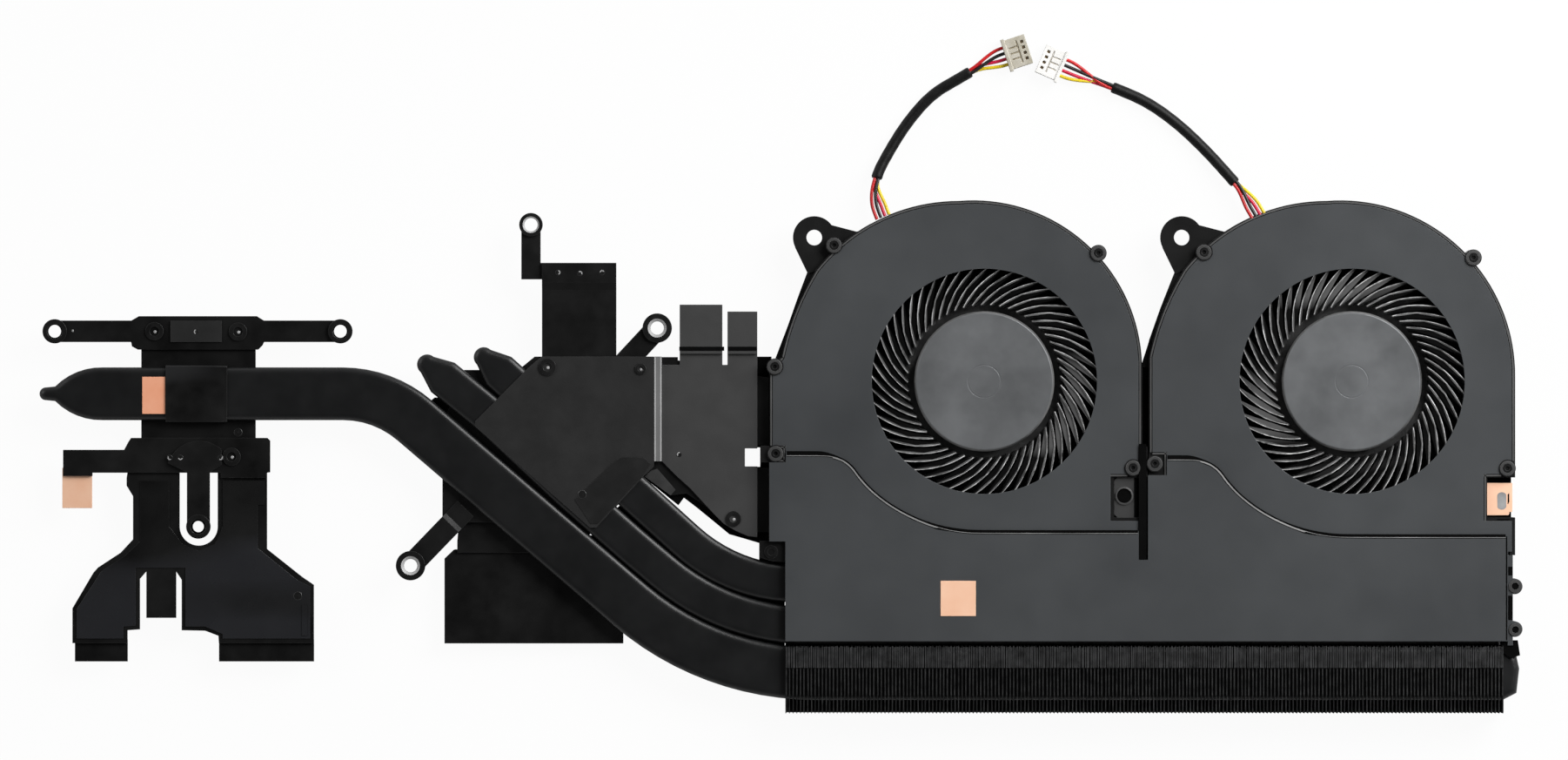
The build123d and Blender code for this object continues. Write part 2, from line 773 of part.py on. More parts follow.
with BuildPart() as left_pipe_pad:
    with BuildSketch(level(pipe_top)):
        rectangle(-139.0, left_y - 4.4, saddle_left - slip, left_y + 3.7)
    extrude(amount=pad_t)
finish(left_pipe_pad, "left_pipe_copper_pad")

with BuildPart() as left_tab:
    with BuildSketch(level(pipe_low - pad_t * 3)):
        rectangle(-156.5, -11.2, -150.0, -2.4)
    extrude(amount=pad_t * 3)
finish(left_tab, "left_copper_tab")

# The memory plate under the lower bar, with a slot round the finger, a tongue and two stepped feet
slot_half = 4.15
slot_round_y = finger_ring[1]
slot_left = finger_ring[0] - slot_half
slot_right = finger_ring[0] + slot_half
memory_low = pipe_low - memory_t
foot_low = memory_low - memory_t
foot_top_y = -40.6
foot_end_y = -44.6
feet = [(-153.8, -142.3), (-122.4, -101.7)]
with BuildPart() as memory_plate:
    with BuildSketch(level(memory_low)):
        face_of(
            (-142.1, -2.2), (-142.5, -4.6), (-142.5, -6.3), (-141.1, -8.6), (-141.1, -18.0),
            (-143.8, -20.9), (-148.7, -24.1), (-149.7, -25.2), (-154.3, -33.0), (-154.3, foot_top_y),
            (-142.3, foot_top_y), (-142.3, -37.8), (-139.6, -37.6), (-139.6, -26.6), (-138.2, -25.0),
            (-138.2, -35.1), (-131.7, -35.1), (-131.7, -25.0), (-130.5, -26.8), (-130.5, -37.8),
            (-125.4, -37.9), (-122.5, -39.0), (-122.4, foot_top_y), (-101.7, foot_top_y),
            (-101.7, -27.9), (-104.2, -26.2), (-111.9, -20.1), (-111.9, -2.2),
        )
        with BuildLine():
            Polyline((slot_left, slot_round_y), (slot_left, 0), (slot_right, 0), (slot_right, slot_round_y))
            RadiusArc((slot_right, slot_round_y), (slot_left, slot_round_y), slot_half)
        make_face(mode=Mode.SUBTRACT)
    extrude(amount=memory_t)
    with BuildSketch(level(foot_low)):
        for left, right in feet:
            rectangle(left, foot_end_y, right, foot_top_y + memory_t)
    extrude(amount=memory_t)
    with BuildSketch(level(foot_low)):
        for left, right in feet:
            rectangle(left, foot_top_y, right, foot_top_y + memory_t)
    extrude(amount=2 * memory_t)
finish(memory_plate, "left_memory_plate")

with BuildPart() as memory_film:
    with BuildSketch(level(pipe_low)):
        face_of(
            (-139.6, -5.2), (-139.6, -18.4), (-142.9, -21.6), (-148.0, -24.9), (-153.4, -33.2),
            (-153.4, -39.6), (-143.2, -39.6), (-143.2, -37.0), (-140.5, -36.8), (-140.5, -24.2),
            (-129.7, -24.2), (-129.7, -37.0), (-125.4, -37.0), (-121.6, -38.6), (-121.6, -39.6),
            (-102.5, -39.6), (-102.5, -28.2), (-105.2, -26.9), (-113.9, -19.9), (-113.9, -10.5),
            (-112.4, -10.5), (-112.4, -5.2), (-121.6, -5.2), (-121.6, slot_round_y), (-123.3, -19.0),
            (-126.8, -20.4), (-130.3, -19.0), (-133.2, -15.2), (-133.2, -5.2),
        )
    extrude(amount=film_t)
finish(memory_film, "left_memory_film")

# Centre module: base plate, cold plate, cover over the short pipes, bracket, arms and lower plate
centre_cover_t = 0.5
centre_cover_top = pipe_top + centre_cover_t
centre_edge_x = -27.6
rail_edge_x = -25.9
centre_top_y = 21.8
with BuildPart() as centre_base:
    with BuildSketch(level(base_low)):
        face_of(
            (-73.7, -14.3), (-73.7, 8.0), (-69.5, 15.0), (-69.0, 18.9), (-57.0, 18.9), (-56.3, 19.6),
            (-53.6, centre_top_y), (centre_edge_x, centre_top_y), (centre_edge_x, -2.2),
            (-44.0, -19.5), (-62.0, -14.3),
        )
    extrude(amount=base_t)
finish(centre_base, "centre_base_plate")

centre_cold_w = 22.0
with BuildPart() as centre_cold:
    with BuildSketch(level(cold_low, -48.5, 3.0)):
        Rectangle(centre_cold_w, centre_cold_w - 2.0)
    extrude(amount=cold_t)
    chamfer(centre_cold.edges().filter_by(Axis.Z), 1.0)
finish(centre_cold, "centre_cold_plate")

with BuildPart() as centre_cover:
    with BuildSketch(level(pipe_top)) as centre_cover_face:
        face_of(
            (-54.8, 19.5), (-52.1, centre_top_y), (centre_edge_x, centre_top_y), (centre_edge_x, -2.1),
            (-29.8, -4.2), (-40.2, -15.4), (-41.5, -15.4), (-56.3, -2.3), (-66.5, 6.6), (-66.5, 7.7),
        )
    extrude(amount=centre_cover_t)
    fillet(centre_cover.edges().filter_by(Axis.Z), 0.4)
finish(centre_cover, "centre_cover_plate")

with BuildPart() as cover_tape:
    with BuildSketch(level(centre_cover_top)):
        face_of(
            (-44.9, -9.3), (-36.6, -1.2), (-34.5, -0.1), (-29.9, -0.1),
            (-28.3, -1.5), (-30.2, -4.3), (-39.9, -14.6), (-41.4, -14.6),
        )
    extrude(amount=pad_t)
finish(cover_tape, "centre_cover_tape")

bracket_left = -52.0
bracket_right = -35.8
bracket_low_y = 17.0
strip_low = 38.2
strip_high = 42.2
bend_low = 36.6
with BuildPart() as bracket:
    with BuildSketch(Plane((bracket_left, 0, pipe_low), x_dir=(0, 1, 0), z_dir=(1, 0, 0))):
        with BuildLine():
            Polyline(
                (bracket_low_y, 0), (bend_low, 0), (strip_low, arm_t), (strip_high, arm_t),
                (strip_high, 2 * arm_t), (strip_low - 0.3, 2 * arm_t), (bend_low - 0.3, arm_t),
                (bracket_low_y, arm_t), close=True,
            )
        make_face()
    extrude(amount=bracket_right - bracket_left)
finish(bracket, "centre_upper_bracket")

ring_a = (-54.4, 50.5)
arm_a_half = 2.1
with BuildPart() as arm_a:
    with BuildSketch(level(pipe_low)):
        rectangle(ring_a[0] - arm_a_half, strip_low + 0.4, ring_a[0] + arm_a_half, ring_a[1])
        rectangle(ring_a[0] - arm_a_half, strip_low + 0.4, bracket_right - 0.6, strip_high)
        with Locations(ring_a):
            Circle(small_ring_r)
            Circle(centre_bore_r + collar_wall + slip, mode=Mode.SUBTRACT)
    extrude(amount=arm_t)
finish(arm_a, "centre_upper_spring_arm")

ring_b = (-26.9, 28.0)
arm_b_turn = 227.0
arm_b_length = 11.5
arm_w = 4.9
with BuildPart() as arm_b:
    with BuildSketch(level(arm_top, *ring_b)):
        Circle(centre_ring_r)
        with Locations(Location((0, 0), arm_b_turn)):
            with Locations((arm_b_length / 2, 0)):
                Rectangle(arm_b_length, arm_w)
        Circle(centre_bore_r + collar_wall + slip, mode=Mode.SUBTRACT)
    extrude(amount=arm_t)
finish(arm_b, "centre_right_spring_arm")

ring_c = (-80.6, -23.7)
arm_c_turn = 46.0
arm_c_bend = 12.2
arm_c_end = 17.2
arm_c_along = (cos(radians(arm_c_turn)), sin(radians(arm_c_turn)), 0)
arm_c_aside = (sin(radians(arm_c_turn)), -cos(radians(arm_c_turn)), 0)
with BuildPart() as arm_c:
    with BuildSketch(Plane((*ring_c, arm_top), x_dir=arm_c_along, z_dir=arm_c_aside)):
        with BuildLine():
            Polyline(
                (0, 0), (arm_c_bend, 0), (arm_c_bend + 1.0, -arm_t), (arm_c_end, -arm_t),
                (arm_c_end, 0), (arm_c_bend + 1.3, 0), (arm_c_bend + 0.3, arm_t), (0, arm_t), close=True,
            )
        make_face()
    extrude(amount=arm_w / 2, both=True)
    with BuildSketch(level(arm_top, *ring_c)):
        Circle(centre_ring_r)
    extrude(amount=arm_t)
    with BuildSketch(level(arm_top, *ring_c)):
        Circle(centre_bore_r + collar_wall + slip)
    extrude(amount=arm_t, mode=Mode.SUBTRACT)
finish(arm_c, "centre_left_spring_arm")

with BuildPart() as centre_collars:
    collar(ring_a, arm_top, centre_bore_r, small_ring_r, 0.35)
    collar(ring_b, upper_arm_top, centre_bore_r, centre_ring_r, 0.6)
    collar(ring_c, upper_arm_top, centre_bore_r, centre_ring_r, 0.6)
finish(centre_collars, "centre_screw_collars")

lower_step_y = -20.2
lower_top_y = -10.5
with BuildPart() as lower_plate:
    with BuildSketch(level(base_low - 2 * arm_t)):
        face_of(
            (-73.3, -22.2), (-71.3, -20.3), (-71.0, lower_step_y),
            (-34.3, lower_step_y), (-34.3, -40.7), (-73.3, -40.7),
        )
    extrude(amount=arm_t)
    with BuildSketch(level(base_low - arm_t)):
        face_of(
            (-70.5, lower_step_y), (-70.5, -18.4), (-69.8, lower_top_y), (-62.0, lower_top_y),
            (-46.0, -15.4), (-36.5, -19.0), (-36.5, lower_step_y),
        )
    extrude(amount=arm_t)
    with BuildSketch(level(base_low - 2 * arm_t)):
        rectangle(-70.5, lower_step_y - arm_t, -36.5, lower_step_y)
    extrude(amount=2 * arm_t)
finish(lower_plate, "centre_lower_plate")

# The plate beside the cover, over its own lower plate, with two raised tabs
side_right_x = -5.1
side_reach_x = left_axis_x + left_fan_left - 3 * slip
side_top_y = 20.0
tab_low_y = 23.2
tab_bend = 0.8
with BuildPart() as side_lower:
    with BuildSketch(level(pipe_low)):
        face_of(
            (-33.0, 21.0), (-33.0, 1.0), (-29.4, -3.6), (-23.9, -8.4), (-20.6, -8.0), (-14.5, -12.0),
            (-9.5, -15.4), (-5.4, -16.4), (side_reach_x, -16.4), (side_reach_x, 17.2), (-5.4, 17.6),
            (-22.4, 21.0), (-22.4, centre_top_y - 0.1), (-28.5, centre_top_y - 0.1), (-28.5, 21.0),
        )
        rectangle(-8.2, -2.5, side_reach_x, 2.5, mode=Mode.SUBTRACT)
    extrude(amount=arm_t)
finish(side_lower, "side_lower_plate")

with BuildPart() as side_plate:
    with BuildSketch(level(arm_top)):
        face_of(
            (rail_edge_x + slip, side_top_y), (rail_edge_x + slip, -1.0), (-22.8, -4.1), (-19.7, -6.9),
            (-14.6, -12.4), (-12.4, -14.6), (-9.9, -16.1), (-7.1, -17.3), (side_right_x, -17.5),
            (side_right_x, tab_low_y), (-11.6, tab_low_y), (-11.6, side_top_y), (-12.7, side_top_y),
            (-12.7, tab_low_y), (-22.0, tab_low_y), (-22.0, side_top_y),
        )
        rectangle(-7.8, -2.1, side_right_x, 1.8, mode=Mode.SUBTRACT)
    extrude(amount=arm_t)
    with BuildSketch(level(upper_arm_top)):
        rectangle(-22.0, tab_low_y - tab_bend, -12.7, 33.1)
        rectangle(-11.6, tab_low_y - tab_bend, side_right_x, 31.6)
    extrude(amount=arm_t)
finish(side_plate, "side_plate")

with BuildPart() as edge_rail:
    with BuildSketch(level(arm_top)):
        rectangle(centre_edge_x + slip, -1.0, rail_edge_x, centre_top_y)
    extrude(amount=centre_cover_top - arm_top)
finish(edge_rail, "centre_edge_rail")

with BuildPart() as centre_rivets:
    with BuildSketch(level(centre_cover_top)):
        with Locations((-50.8, 19.5)):
            Circle(1.9)
            Circle(0.9, mode=Mode.SUBTRACT)
        with Locations((-30.5, 19.1)):
            Circle(1.25)
            Circle(0.6, mode=Mode.SUBTRACT)
    extrude(amount=rivet_t)
    with BuildSketch(level(upper_arm_top)):
        with Locations((-10.3, -13.5)):
            Circle(1.7)
            Circle(0.8, mode=Mode.SUBTRACT)
    extrude(amount=rivet_t)
finish(centre_rivets, "centre_rivets")

# Leads: a short limp cable from each fan to a white connector
connector_w = 6.6
connector_l = 5.3
connector_h = 3.4
connector_wall = 0.6
connector_lip = 0.35
connector_lip_l = 0.7
groove_w = 0.3
groove_depth = 0.25
pin_pitch = 1.25
bend_share = 0.45
last_run = 4.6


def make_lead(side, route, turn):
    """One lead: its tube along the route, squared to the connector that it ends in at the given turn."""
    ahead = (cos(radians(turn)), sin(radians(turn)))
    end = route[-1]
    last_bend = (end[0] - last_run * ahead[0], end[1] - last_run * ahead[1], end[2])
    route = [*route[:-1], last_bend, end]
    radii = []
    for before, here, after in zip(route, route[1:], route[2:]):
        coming = Vector(*here) - Vector(*before)
        going = Vector(*after) - Vector(*here)
        half_turn = radians(coming.get_angle(going)) / 2
        shorter = min(coming.length, going.length)
        radii.append(bend_share * shorter / tan(half_turn))
    with BuildPart() as lead:
        with BuildLine() as line:
            FilletPolyline(*route, radius=radii)
        path = line.wires()[0]
        with BuildSketch(Plane(origin=path @ 0, z_dir=path % 0)) as section:
            Circle(lead_d / 2)
        sweep(section.sketch, path=path)
    expected = pi * (lead_d / 2) ** 2 * path.length
    print(side, "radii", [round(r, 1) for r in radii], "length", round(path.length, 1))
    print(side, "volume over section times length", round(lead.part.volume / expected, 4))
    finish(lead, f"{side}_lead")

    middle = (end[0] + ahead[0] * connector_l / 2, end[1] + ahead[1] * connector_l / 2)
    with BuildPart() as connector:
        with BuildSketch(Plane((*middle, 0), x_dir=(*ahead, 0), z_dir=(0, 0, 1))):
            Rectangle(connector_l, connector_w)
        extrude(amount=connector_h)
        # The lip round the end that the wires go into
        with BuildSketch(Plane((*middle, 0), x_dir=(*ahead, 0), z_dir=(0, 0, 1))):
            with Locations(((connector_lip_l - connector_l) / 2, 0)):
                Rectangle(connector_lip_l, connector_w + 2 * connector_lip)
        extrude(amount=connector_h + connector_lip)
        # Four contact windows, and the grooves of the latches between them
        with BuildSketch(Plane((*middle, connector_h), x_dir=(*ahead, 0), z_dir=(0, 0, 1))):
            with Locations((connector_l / 2 - 1.0, 0)):
                with GridLocations(0, pin_pitch, 1, 4):
                    Rectangle(0.7, 0.6)
        extrude(amount=-connector_wall, mode=Mode.SUBTRACT)
        with BuildSketch(Plane((*middle, connector_h), x_dir=(*ahead, 0), z_dir=(0, 0, 1))):
            with Locations((0.5, 0)):
                Rectangle(groove_w, 4 * pin_pitch)
            with Locations((-0.5, 0)):
                with GridLocations(0, pin_pitch, 1, 3):
                    Rectangle(2.0, groove_w)
        extrude(amount=-groove_depth, mode=Mode.SUBTRACT)
    finish(connector, f"{side}_connector")


left_route = [
    (22.3, 52.2, 4.2),
    (20.6, 56.3, 3.9),
    (20.6, 60.8, 3.0),
    (23.7, 66.7, 1.9),
    (27.6, 72.9, 1.35),
    (32.9, 79.0, 1.3),
    (39.2, 82.6, 1.4),
    (49.0, 87.3, 1.6),
]
right_route = [
    (104.2, 52.2, 4.2),
    (102.0, 56.2, 3.8),
    (97.9, 61.0, 2.7),
    (92.6, 66.9, 1.7),
    (86.6, 72.6, 1.35),
    (79.9, 77.4, 1.3),
    (72.8, 80.4, 1.4),
    (61.6, 84.8, 1.6),
]
make_lead("left_fan", left_route, 18.4)
make_lead("right_fan", right_route, 156.6)
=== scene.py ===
# %% [markdown]
# # A laptop cooler, dressed for its portrait
# The frame is a measured model of a laptop's cooler: two blower fans, a long stack of fins, three flat
# heat pipes and the plates that press on the processors. Its shapes are finished, so most of this lesson is
# about surfaces: moulded black plastic, coated sheet metal, blackened pipes, bare copper and white nylon.
# What the frame leaves plain, such as the coloured wires, is made here in mesh code.
# Everything is in metres, X runs along the cooler, and Z points up at the camera.

import math
import random

import bmesh
import bpy
from mathutils import Matrix, Vector


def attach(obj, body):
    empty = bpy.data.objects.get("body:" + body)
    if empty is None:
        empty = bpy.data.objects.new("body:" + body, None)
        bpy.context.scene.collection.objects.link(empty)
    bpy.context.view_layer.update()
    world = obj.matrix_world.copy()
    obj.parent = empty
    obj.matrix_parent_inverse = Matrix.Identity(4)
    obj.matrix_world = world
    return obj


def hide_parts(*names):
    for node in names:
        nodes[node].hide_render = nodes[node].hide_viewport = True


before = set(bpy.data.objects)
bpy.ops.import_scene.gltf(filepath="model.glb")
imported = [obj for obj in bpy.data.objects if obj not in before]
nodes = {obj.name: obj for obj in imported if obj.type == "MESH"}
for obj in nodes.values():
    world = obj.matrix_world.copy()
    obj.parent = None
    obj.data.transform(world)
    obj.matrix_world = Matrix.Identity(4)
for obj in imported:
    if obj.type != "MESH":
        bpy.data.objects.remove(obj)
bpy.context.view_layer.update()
mm = 0.001

# %% [markdown]
# ## Camera
# A product picture of something flat is taken from straight above. A long lens far away keeps the sides of
# the fans from showing, so the outlines stay true. The view is as wide as the picture: 1802 pixels at
# 5.28 pixels to a millimetre.

# %% Camera
picture_width = 1802
pixels_per_mm = 5.28
picture_width_m = picture_width / pixels_per_mm * mm
view_centre = Vector((0.71 * mm, 16.7 * mm, 8.0 * mm))
camera_height = 3.0
camera_data = bpy.data.cameras.new("camera")
camera_data.type = "PERSP"
camera_data.sensor_width = 36.0
camera_data.lens = camera_data.sensor_width * camera_height / picture_width_m
camera_data.clip_start = 0.1
camera_data.clip_end = 20.0
camera_data.dof.use_dof = False
camera = bpy.data.objects.new("camera", camera_data)
camera.location = view_centre + Vector((0, 0, camera_height))
bpy.context.collection.objects.link(camera)
bpy.context.scene.camera = camera
print("lens", round(camera_data.lens, 1), "mm at", camera_height, "m")

# %% [markdown]
# ## Leads
# Each fan has four thin wires. They leave the frame side by side, run together inside a soft black sleeve,
# and spread again before the white connector. A lead's route is a smooth NURBS curve through the air and
# along the table. The wires are tubes that follow points read from that curve, each with its own sideways
# offset: wide at both ends, and packed two over two in the sleeve.

# %% Routes of the leads
last_run = 4.6
left_plug_turn = 18.4
right_plug_turn = 156.6


def squared_route(points, turn):
    """The route's points in metres, with one more so that the last run meets the connector squarely."""
    ahead = (math.cos(math.radians(turn)), math.sin(math.radians(turn)))
    end = points[-1]
    bend = (end[0] - last_run * ahead[0], end[1] - last_run * ahead[1], end[2])
    return [Vector(point) * mm for point in (*points[:-1], bend, end)]


left_route = squared_route(
    [
        (22.3, 52.2, 4.2), (20.6, 56.3, 3.9), (20.6, 60.8, 3.0), (23.7, 66.7, 1.9),
        (27.6, 72.9, 1.35), (32.9, 79.0, 1.3), (39.2, 82.6, 1.4), (49.0, 87.3, 1.6),
    ],
    left_plug_turn,
)
right_route = squared_route(
    [
        (104.2, 52.2, 4.2), (102.0, 56.2, 3.8), (97.9, 61.0, 2.7), (92.6, 66.9, 1.7),
        (86.6, 72.6, 1.35), (79.9, 77.4, 1.3), (72.8, 80.4, 1.4), (61.6, 84.8, 1.6),
    ],
    right_plug_turn,
)


def smooth_points(route):
    """Points along the smooth curve that has the route's points as its control points."""
    curve = bpy.data.curves.new("route", "CURVE")
    curve.dimensions = "3D"
    curve.resolution_u = 16
    spline = curve.splines.new("NURBS")
    spline.points.add(len(route) - 1)
    for point, place in zip(spline.points, route):
        point.co = (*place, 1)
    spline.order_u = 3
    spline.use_endpoint_u = True
    holder = bpy.data.objects.new("route", curve)
    bpy.context.collection.objects.link(holder)
    bpy.context.view_layer.update()
    mesh = bpy.data.meshes.new_from_object(holder)
    points = [vertex.co.copy() for vertex in mesh.vertices]
    bpy.data.objects.remove(holder)
    return points


def lengths_along(points):
    """How far each point lies from the first, along the line."""
    total = [0.0]
    for before, after in zip(points, points[1:]):
        total.append(total[-1] + (after - before).length)
    return total


left_points = smooth_points(left_route)
right_points = smooth_points(right_route)
left_length = lengths_along(left_points)[-1]
right_length = lengths_along(right_points)[-1]
print("left lead", round(left_length / mm, 1), "mm, right lead", round(right_length / mm, 1), "mm")


# %% Tubes in mesh code
def add_tube(mesh, centres, radius, sides, slot):
    """Adds a closed round tube along the centres. radius is a number, or one number for each centre."""
    up = Vector((0, 0, 1))
    rings = []
    for place, centre in enumerate(centres):
        before = centres[max(place - 1, 0)]
        after = centres[min(place + 1, len(centres) - 1)]
        along = (after - before).normalized()
        side = along.cross(up).normalized()
        top = side.cross(along)
        size = radius[place] if isinstance(radius, list) else radius
        ring = []
        for step in range(sides):
            turn = 2 * math.pi * step / sides
            ring.append(mesh.verts.new(centre + size * (math.cos(turn) * side + math.sin(turn) * top)))
        rings.append(ring)
    faces = []
    for ring, following in zip(rings, rings[1:]):
        for step in range(sides):
            corner = (step + 1) % sides
            faces.append(mesh.faces.new((ring[step], ring[corner], following[corner], following[step])))
    faces.append(mesh.faces.new(rings[0][::-1]))
    faces.append(mesh.faces.new(rings[-1]))
    for face in faces:
        face.material_index = slot
        face.smooth = True


def add_object(name, mesh, body, materials=(), smooth_below=40):
    """Makes an object of a bmesh, lets it ride on a body and gives it its materials."""
    bmesh.ops.recalc_face_normals(mesh, faces=mesh.faces[:])
    data = bpy.data.meshes.new(name)
    mesh.to_mesh(data)
    mesh.free()
    data.set_sharp_from_angle(angle=math.radians(smooth_below))
    piece = bpy.data.objects.new(name, data)
    bpy.context.collection.objects.link(piece)
    for material in materials:
        data.materials.append(material)
    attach(piece, body)
    return piece


# %% [markdown]
# ## How the finishes are built
# Nearly every finish here is the same idea with other numbers: a base colour that drifts a little in large
# soft patches, a roughness that drifts in smaller ones, and a fine grain that only bends the light. Real
# coatings are never even, and the drift is what makes a dark surface readable. Small helpers add one group
# of nodes each, and coated joins them. Values that are the same all over sit on the shader's own sockets.


# %% Helpers for single nodes
def shade(colour):
    """A linear colour from a grey or a red, green, blue triple."""
    if isinstance(colour, (int, float)):
        return (colour, colour, colour, 1)
    return (*colour, 1)


def new_finish(name):
    """An empty finish: its material, its node tree and its main shader."""
    material = bpy.data.materials.new(name)
    material.use_nodes = True
    tree = material.node_tree
    return material, tree, tree.nodes["Principled BSDF"]


def noise(tree, place, scale, detail=4.0, roughness=0.55, stretch=(1, 1, 1)):
    """A noise texture in object space. scale is in features per metre."""
    mapping = tree.nodes.new("ShaderNodeMapping")
    mapping.inputs["Scale"].default_value = stretch
    tree.links.new(place.outputs["Object"], mapping.inputs["Vector"])
    texture = tree.nodes.new("ShaderNodeTexNoise")
    texture.inputs["Scale"].default_value = scale
    texture.inputs["Detail"].default_value = detail
    texture.inputs["Roughness"].default_value = roughness
    tree.links.new(mapping.outputs["Vector"], texture.inputs["Vector"])
    return texture.outputs["Fac"]


def spread_between(tree, value, low, high, start=0.3, stop=0.7):
    """Maps a noise value to the range low to high."""
    spread = tree.nodes.new("ShaderNodeMapRange")
    spread.inputs["From Min"].default_value = start
    spread.inputs["From Max"].default_value = stop
    spread.inputs["To Min"].default_value = low
    spread.inputs["To Max"].default_value = high
    tree.links.new(value, spread.inputs["Value"])
    return spread.outputs["Result"]


def mix_colours(tree, factor, first, second):
    """Mixes two colours by a value between 0 and 1. Each colour is a number, a triple or a node's output."""
    mix = tree.nodes.new("ShaderNodeMix")
    mix.data_type = "RGBA"
    tree.links.new(factor, mix.inputs["Factor"])
    for socket, colour in ((mix.inputs[6], first), (mix.inputs[7], second)):
        if isinstance(colour, bpy.types.NodeSocket):
            tree.links.new(colour, socket)
        else:
            socket.default_value = shade(colour)
    return mix.outputs[2]


# %% Helpers for relief and worn edges
def add_bump(tree, shader, height, distance):
    """Bends the light by a height value. distance is the height of the relief in metres."""
    bump = tree.nodes.new("ShaderNodeBump")
    bump.inputs["Strength"].default_value = 1.0
    bump.inputs["Distance"].default_value = distance
    tree.links.new(height, bump.inputs["Height"])
    previous = shader.inputs["Normal"].links
    if previous:
        tree.links.new(previous[0].from_socket, bump.inputs["Normal"])
    tree.links.new(bump.outputs["Normal"], shader.inputs["Normal"])


def worn_edges(tree, radius):
    """1 near a sharp edge and 0 elsewhere, from how much a rounded normal differs from the true one."""
    rounded = tree.nodes.new("ShaderNodeBevel")
    rounded.samples = 4
    rounded.inputs["Radius"].default_value = radius
    true = tree.nodes.new("ShaderNodeNewGeometry")
    dot = tree.nodes.new("ShaderNodeVectorMath")
    dot.operation = "DOT_PRODUCT"
    tree.links.new(rounded.outputs["Normal"], dot.inputs[0])
    tree.links.new(true.outputs["Normal"], dot.inputs[1])
    return spread_between(tree, dot.outputs["Value"], 1.0, 0.0, 0.75, 0.99)


# %% A painted, coated or moulded finish
wear_width = 0.12 * mm
wear_patches = 900.0
gloss_patches = 3.1


def coated(name, dark, light, rough, grain, depth, patch=60.0, edge=None, metallic=0.0, gloss_level=0.5):
    """A painted, coated or moulded finish: two tones in soft patches, uneven gloss and a fine grain."""
    material, tree, shader = new_finish(name)
    place = tree.nodes.new("ShaderNodeTexCoord")
    patches = noise(tree, place, patch)
    tones = mix_colours(tree, spread_between(tree, patches, 0.0, 1.0), dark, light)
    if edge is not None:
        rub = noise(tree, place, wear_patches, 3.0)
        wear = tree.nodes.new("ShaderNodeMath")
        wear.operation = "MULTIPLY"
        tree.links.new(worn_edges(tree, wear_width), wear.inputs[0])
        tree.links.new(spread_between(tree, rub, 0.25, 1.0), wear.inputs[1])
        tones = mix_colours(tree, wear.outputs["Value"], tones, edge)
    tree.links.new(tones, shader.inputs["Base Color"])
    gloss = noise(tree, place, patch * gloss_patches)
    tree.links.new(spread_between(tree, gloss, rough[0], rough[1]), shader.inputs["Roughness"])
    add_bump(tree, shader, noise(tree, place, grain, 2.0), depth)
    shader.inputs["Metallic"].default_value = metallic
    shader.inputs["Specular IOR Level"].default_value = gloss_level
    return material


# %% Slanted bands of painted sheen
band_slant = math.radians(50)
bands_per_metre = 60.0


def painted_sheen_bands(material, light, start=0.5):
    """Paints broad slanted bands of a lighter tone over a finish: painted sheen, as a sheet that isn't quite
    flat would reflect.
    """
    tree = material.node_tree
    shader = tree.nodes["Principled BSDF"]
    place = tree.nodes.new("ShaderNodeTexCoord")
    slant = tree.nodes.new("ShaderNodeMapping")
    slant.inputs["Rotation"].default_value = (0, 0, band_slant)
    slant.inputs["Scale"].default_value = (0.2, 1, 1)
    tree.links.new(place.outputs["Object"], slant.inputs["Vector"])
    bands = tree.nodes.new("ShaderNodeTexNoise")
    bands.inputs["Scale"].default_value = bands_per_metre
    bands.inputs["Detail"].default_value = 1.0
    tree.links.new(slant.outputs["Vector"], bands.inputs["Vector"])
    tones = shader.inputs["Base Color"].links[0].from_socket
    lighter = spread_between(tree, bands.outputs["Fac"], 0.0, 1.0, start, start + 0.12)
    tree.links.new(mix_colours(tree, lighter, tones, light), shader.inputs["Base Color"])


# %% [markdown]
# ## Black plastic and rubber
# The fan frames and impellers are injection moulded. Their black has a satin gloss with a faint orange peel.
# The blades are polished. The shine on their faces in some places is painted sheen, and they are black in
# others; the bright line on their edges is a painted highlight. The lead's sleeve is duller, and the wires
# have a smooth shiny skin in strong colours.

# %% Plastic and rubber finishes
housing_plastic = coated(
    "housing_plastic", 0.006, 0.011, (0.34, 0.5), 5200.0, 0.000012, edge=0.06, gloss_level=0.18,
)
boss_plastic = coated("boss_plastic", 0.034, 0.048, (0.36, 0.48), 5200.0, 0.000012, edge=0.16)
impeller_plastic = coated("impeller_plastic", 0.03, 0.16, (0.2, 0.3), 4200.0, 0.00001, patch=110.0)
# The pale tone of the blade edges is a painted highlight, and the slanted bands on the blade faces are
# painted sheen.
blade_edge_painted_highlight = coated("blade_edge_painted_highlight", 0.05, 0.8, (0.3, 0.4), 4200.0, 0.00001, patch=420.0)
blade_face_painted_sheen = coated("blade_face_painted_sheen", 0.002, 0.005, (0.2, 0.3), 4200.0, 0.00001, gloss_level=0.1)
painted_sheen_bands(blade_face_painted_sheen, 0.09, 0.57)

sleeve_rubber = coated(
    "sleeve_rubber", 0.003, 0.007, (0.4, 0.5), 2600.0, 0.000006, patch=400.0, gloss_level=0.2,
)


def wire_skin(name, dark, light):
    """The coloured skin of a thin wire."""
    return coated(name, dark, light, (0.28, 0.4), 1500.0, 0.00001, patch=300.0)


red_wire = wire_skin("red_wire", (0.42, 0.006, 0.008), (0.6, 0.01, 0.012))
black_wire = wire_skin("black_wire", 0.006, 0.014)
crimson_wire = wire_skin("crimson_wire", (0.5, 0.006, 0.035), (0.66, 0.01, 0.06))
yellow_wire = wire_skin("yellow_wire", (0.68, 0.5, 0.01), (0.84, 0.64, 0.015))
print("plastic and rubber finishes ready")
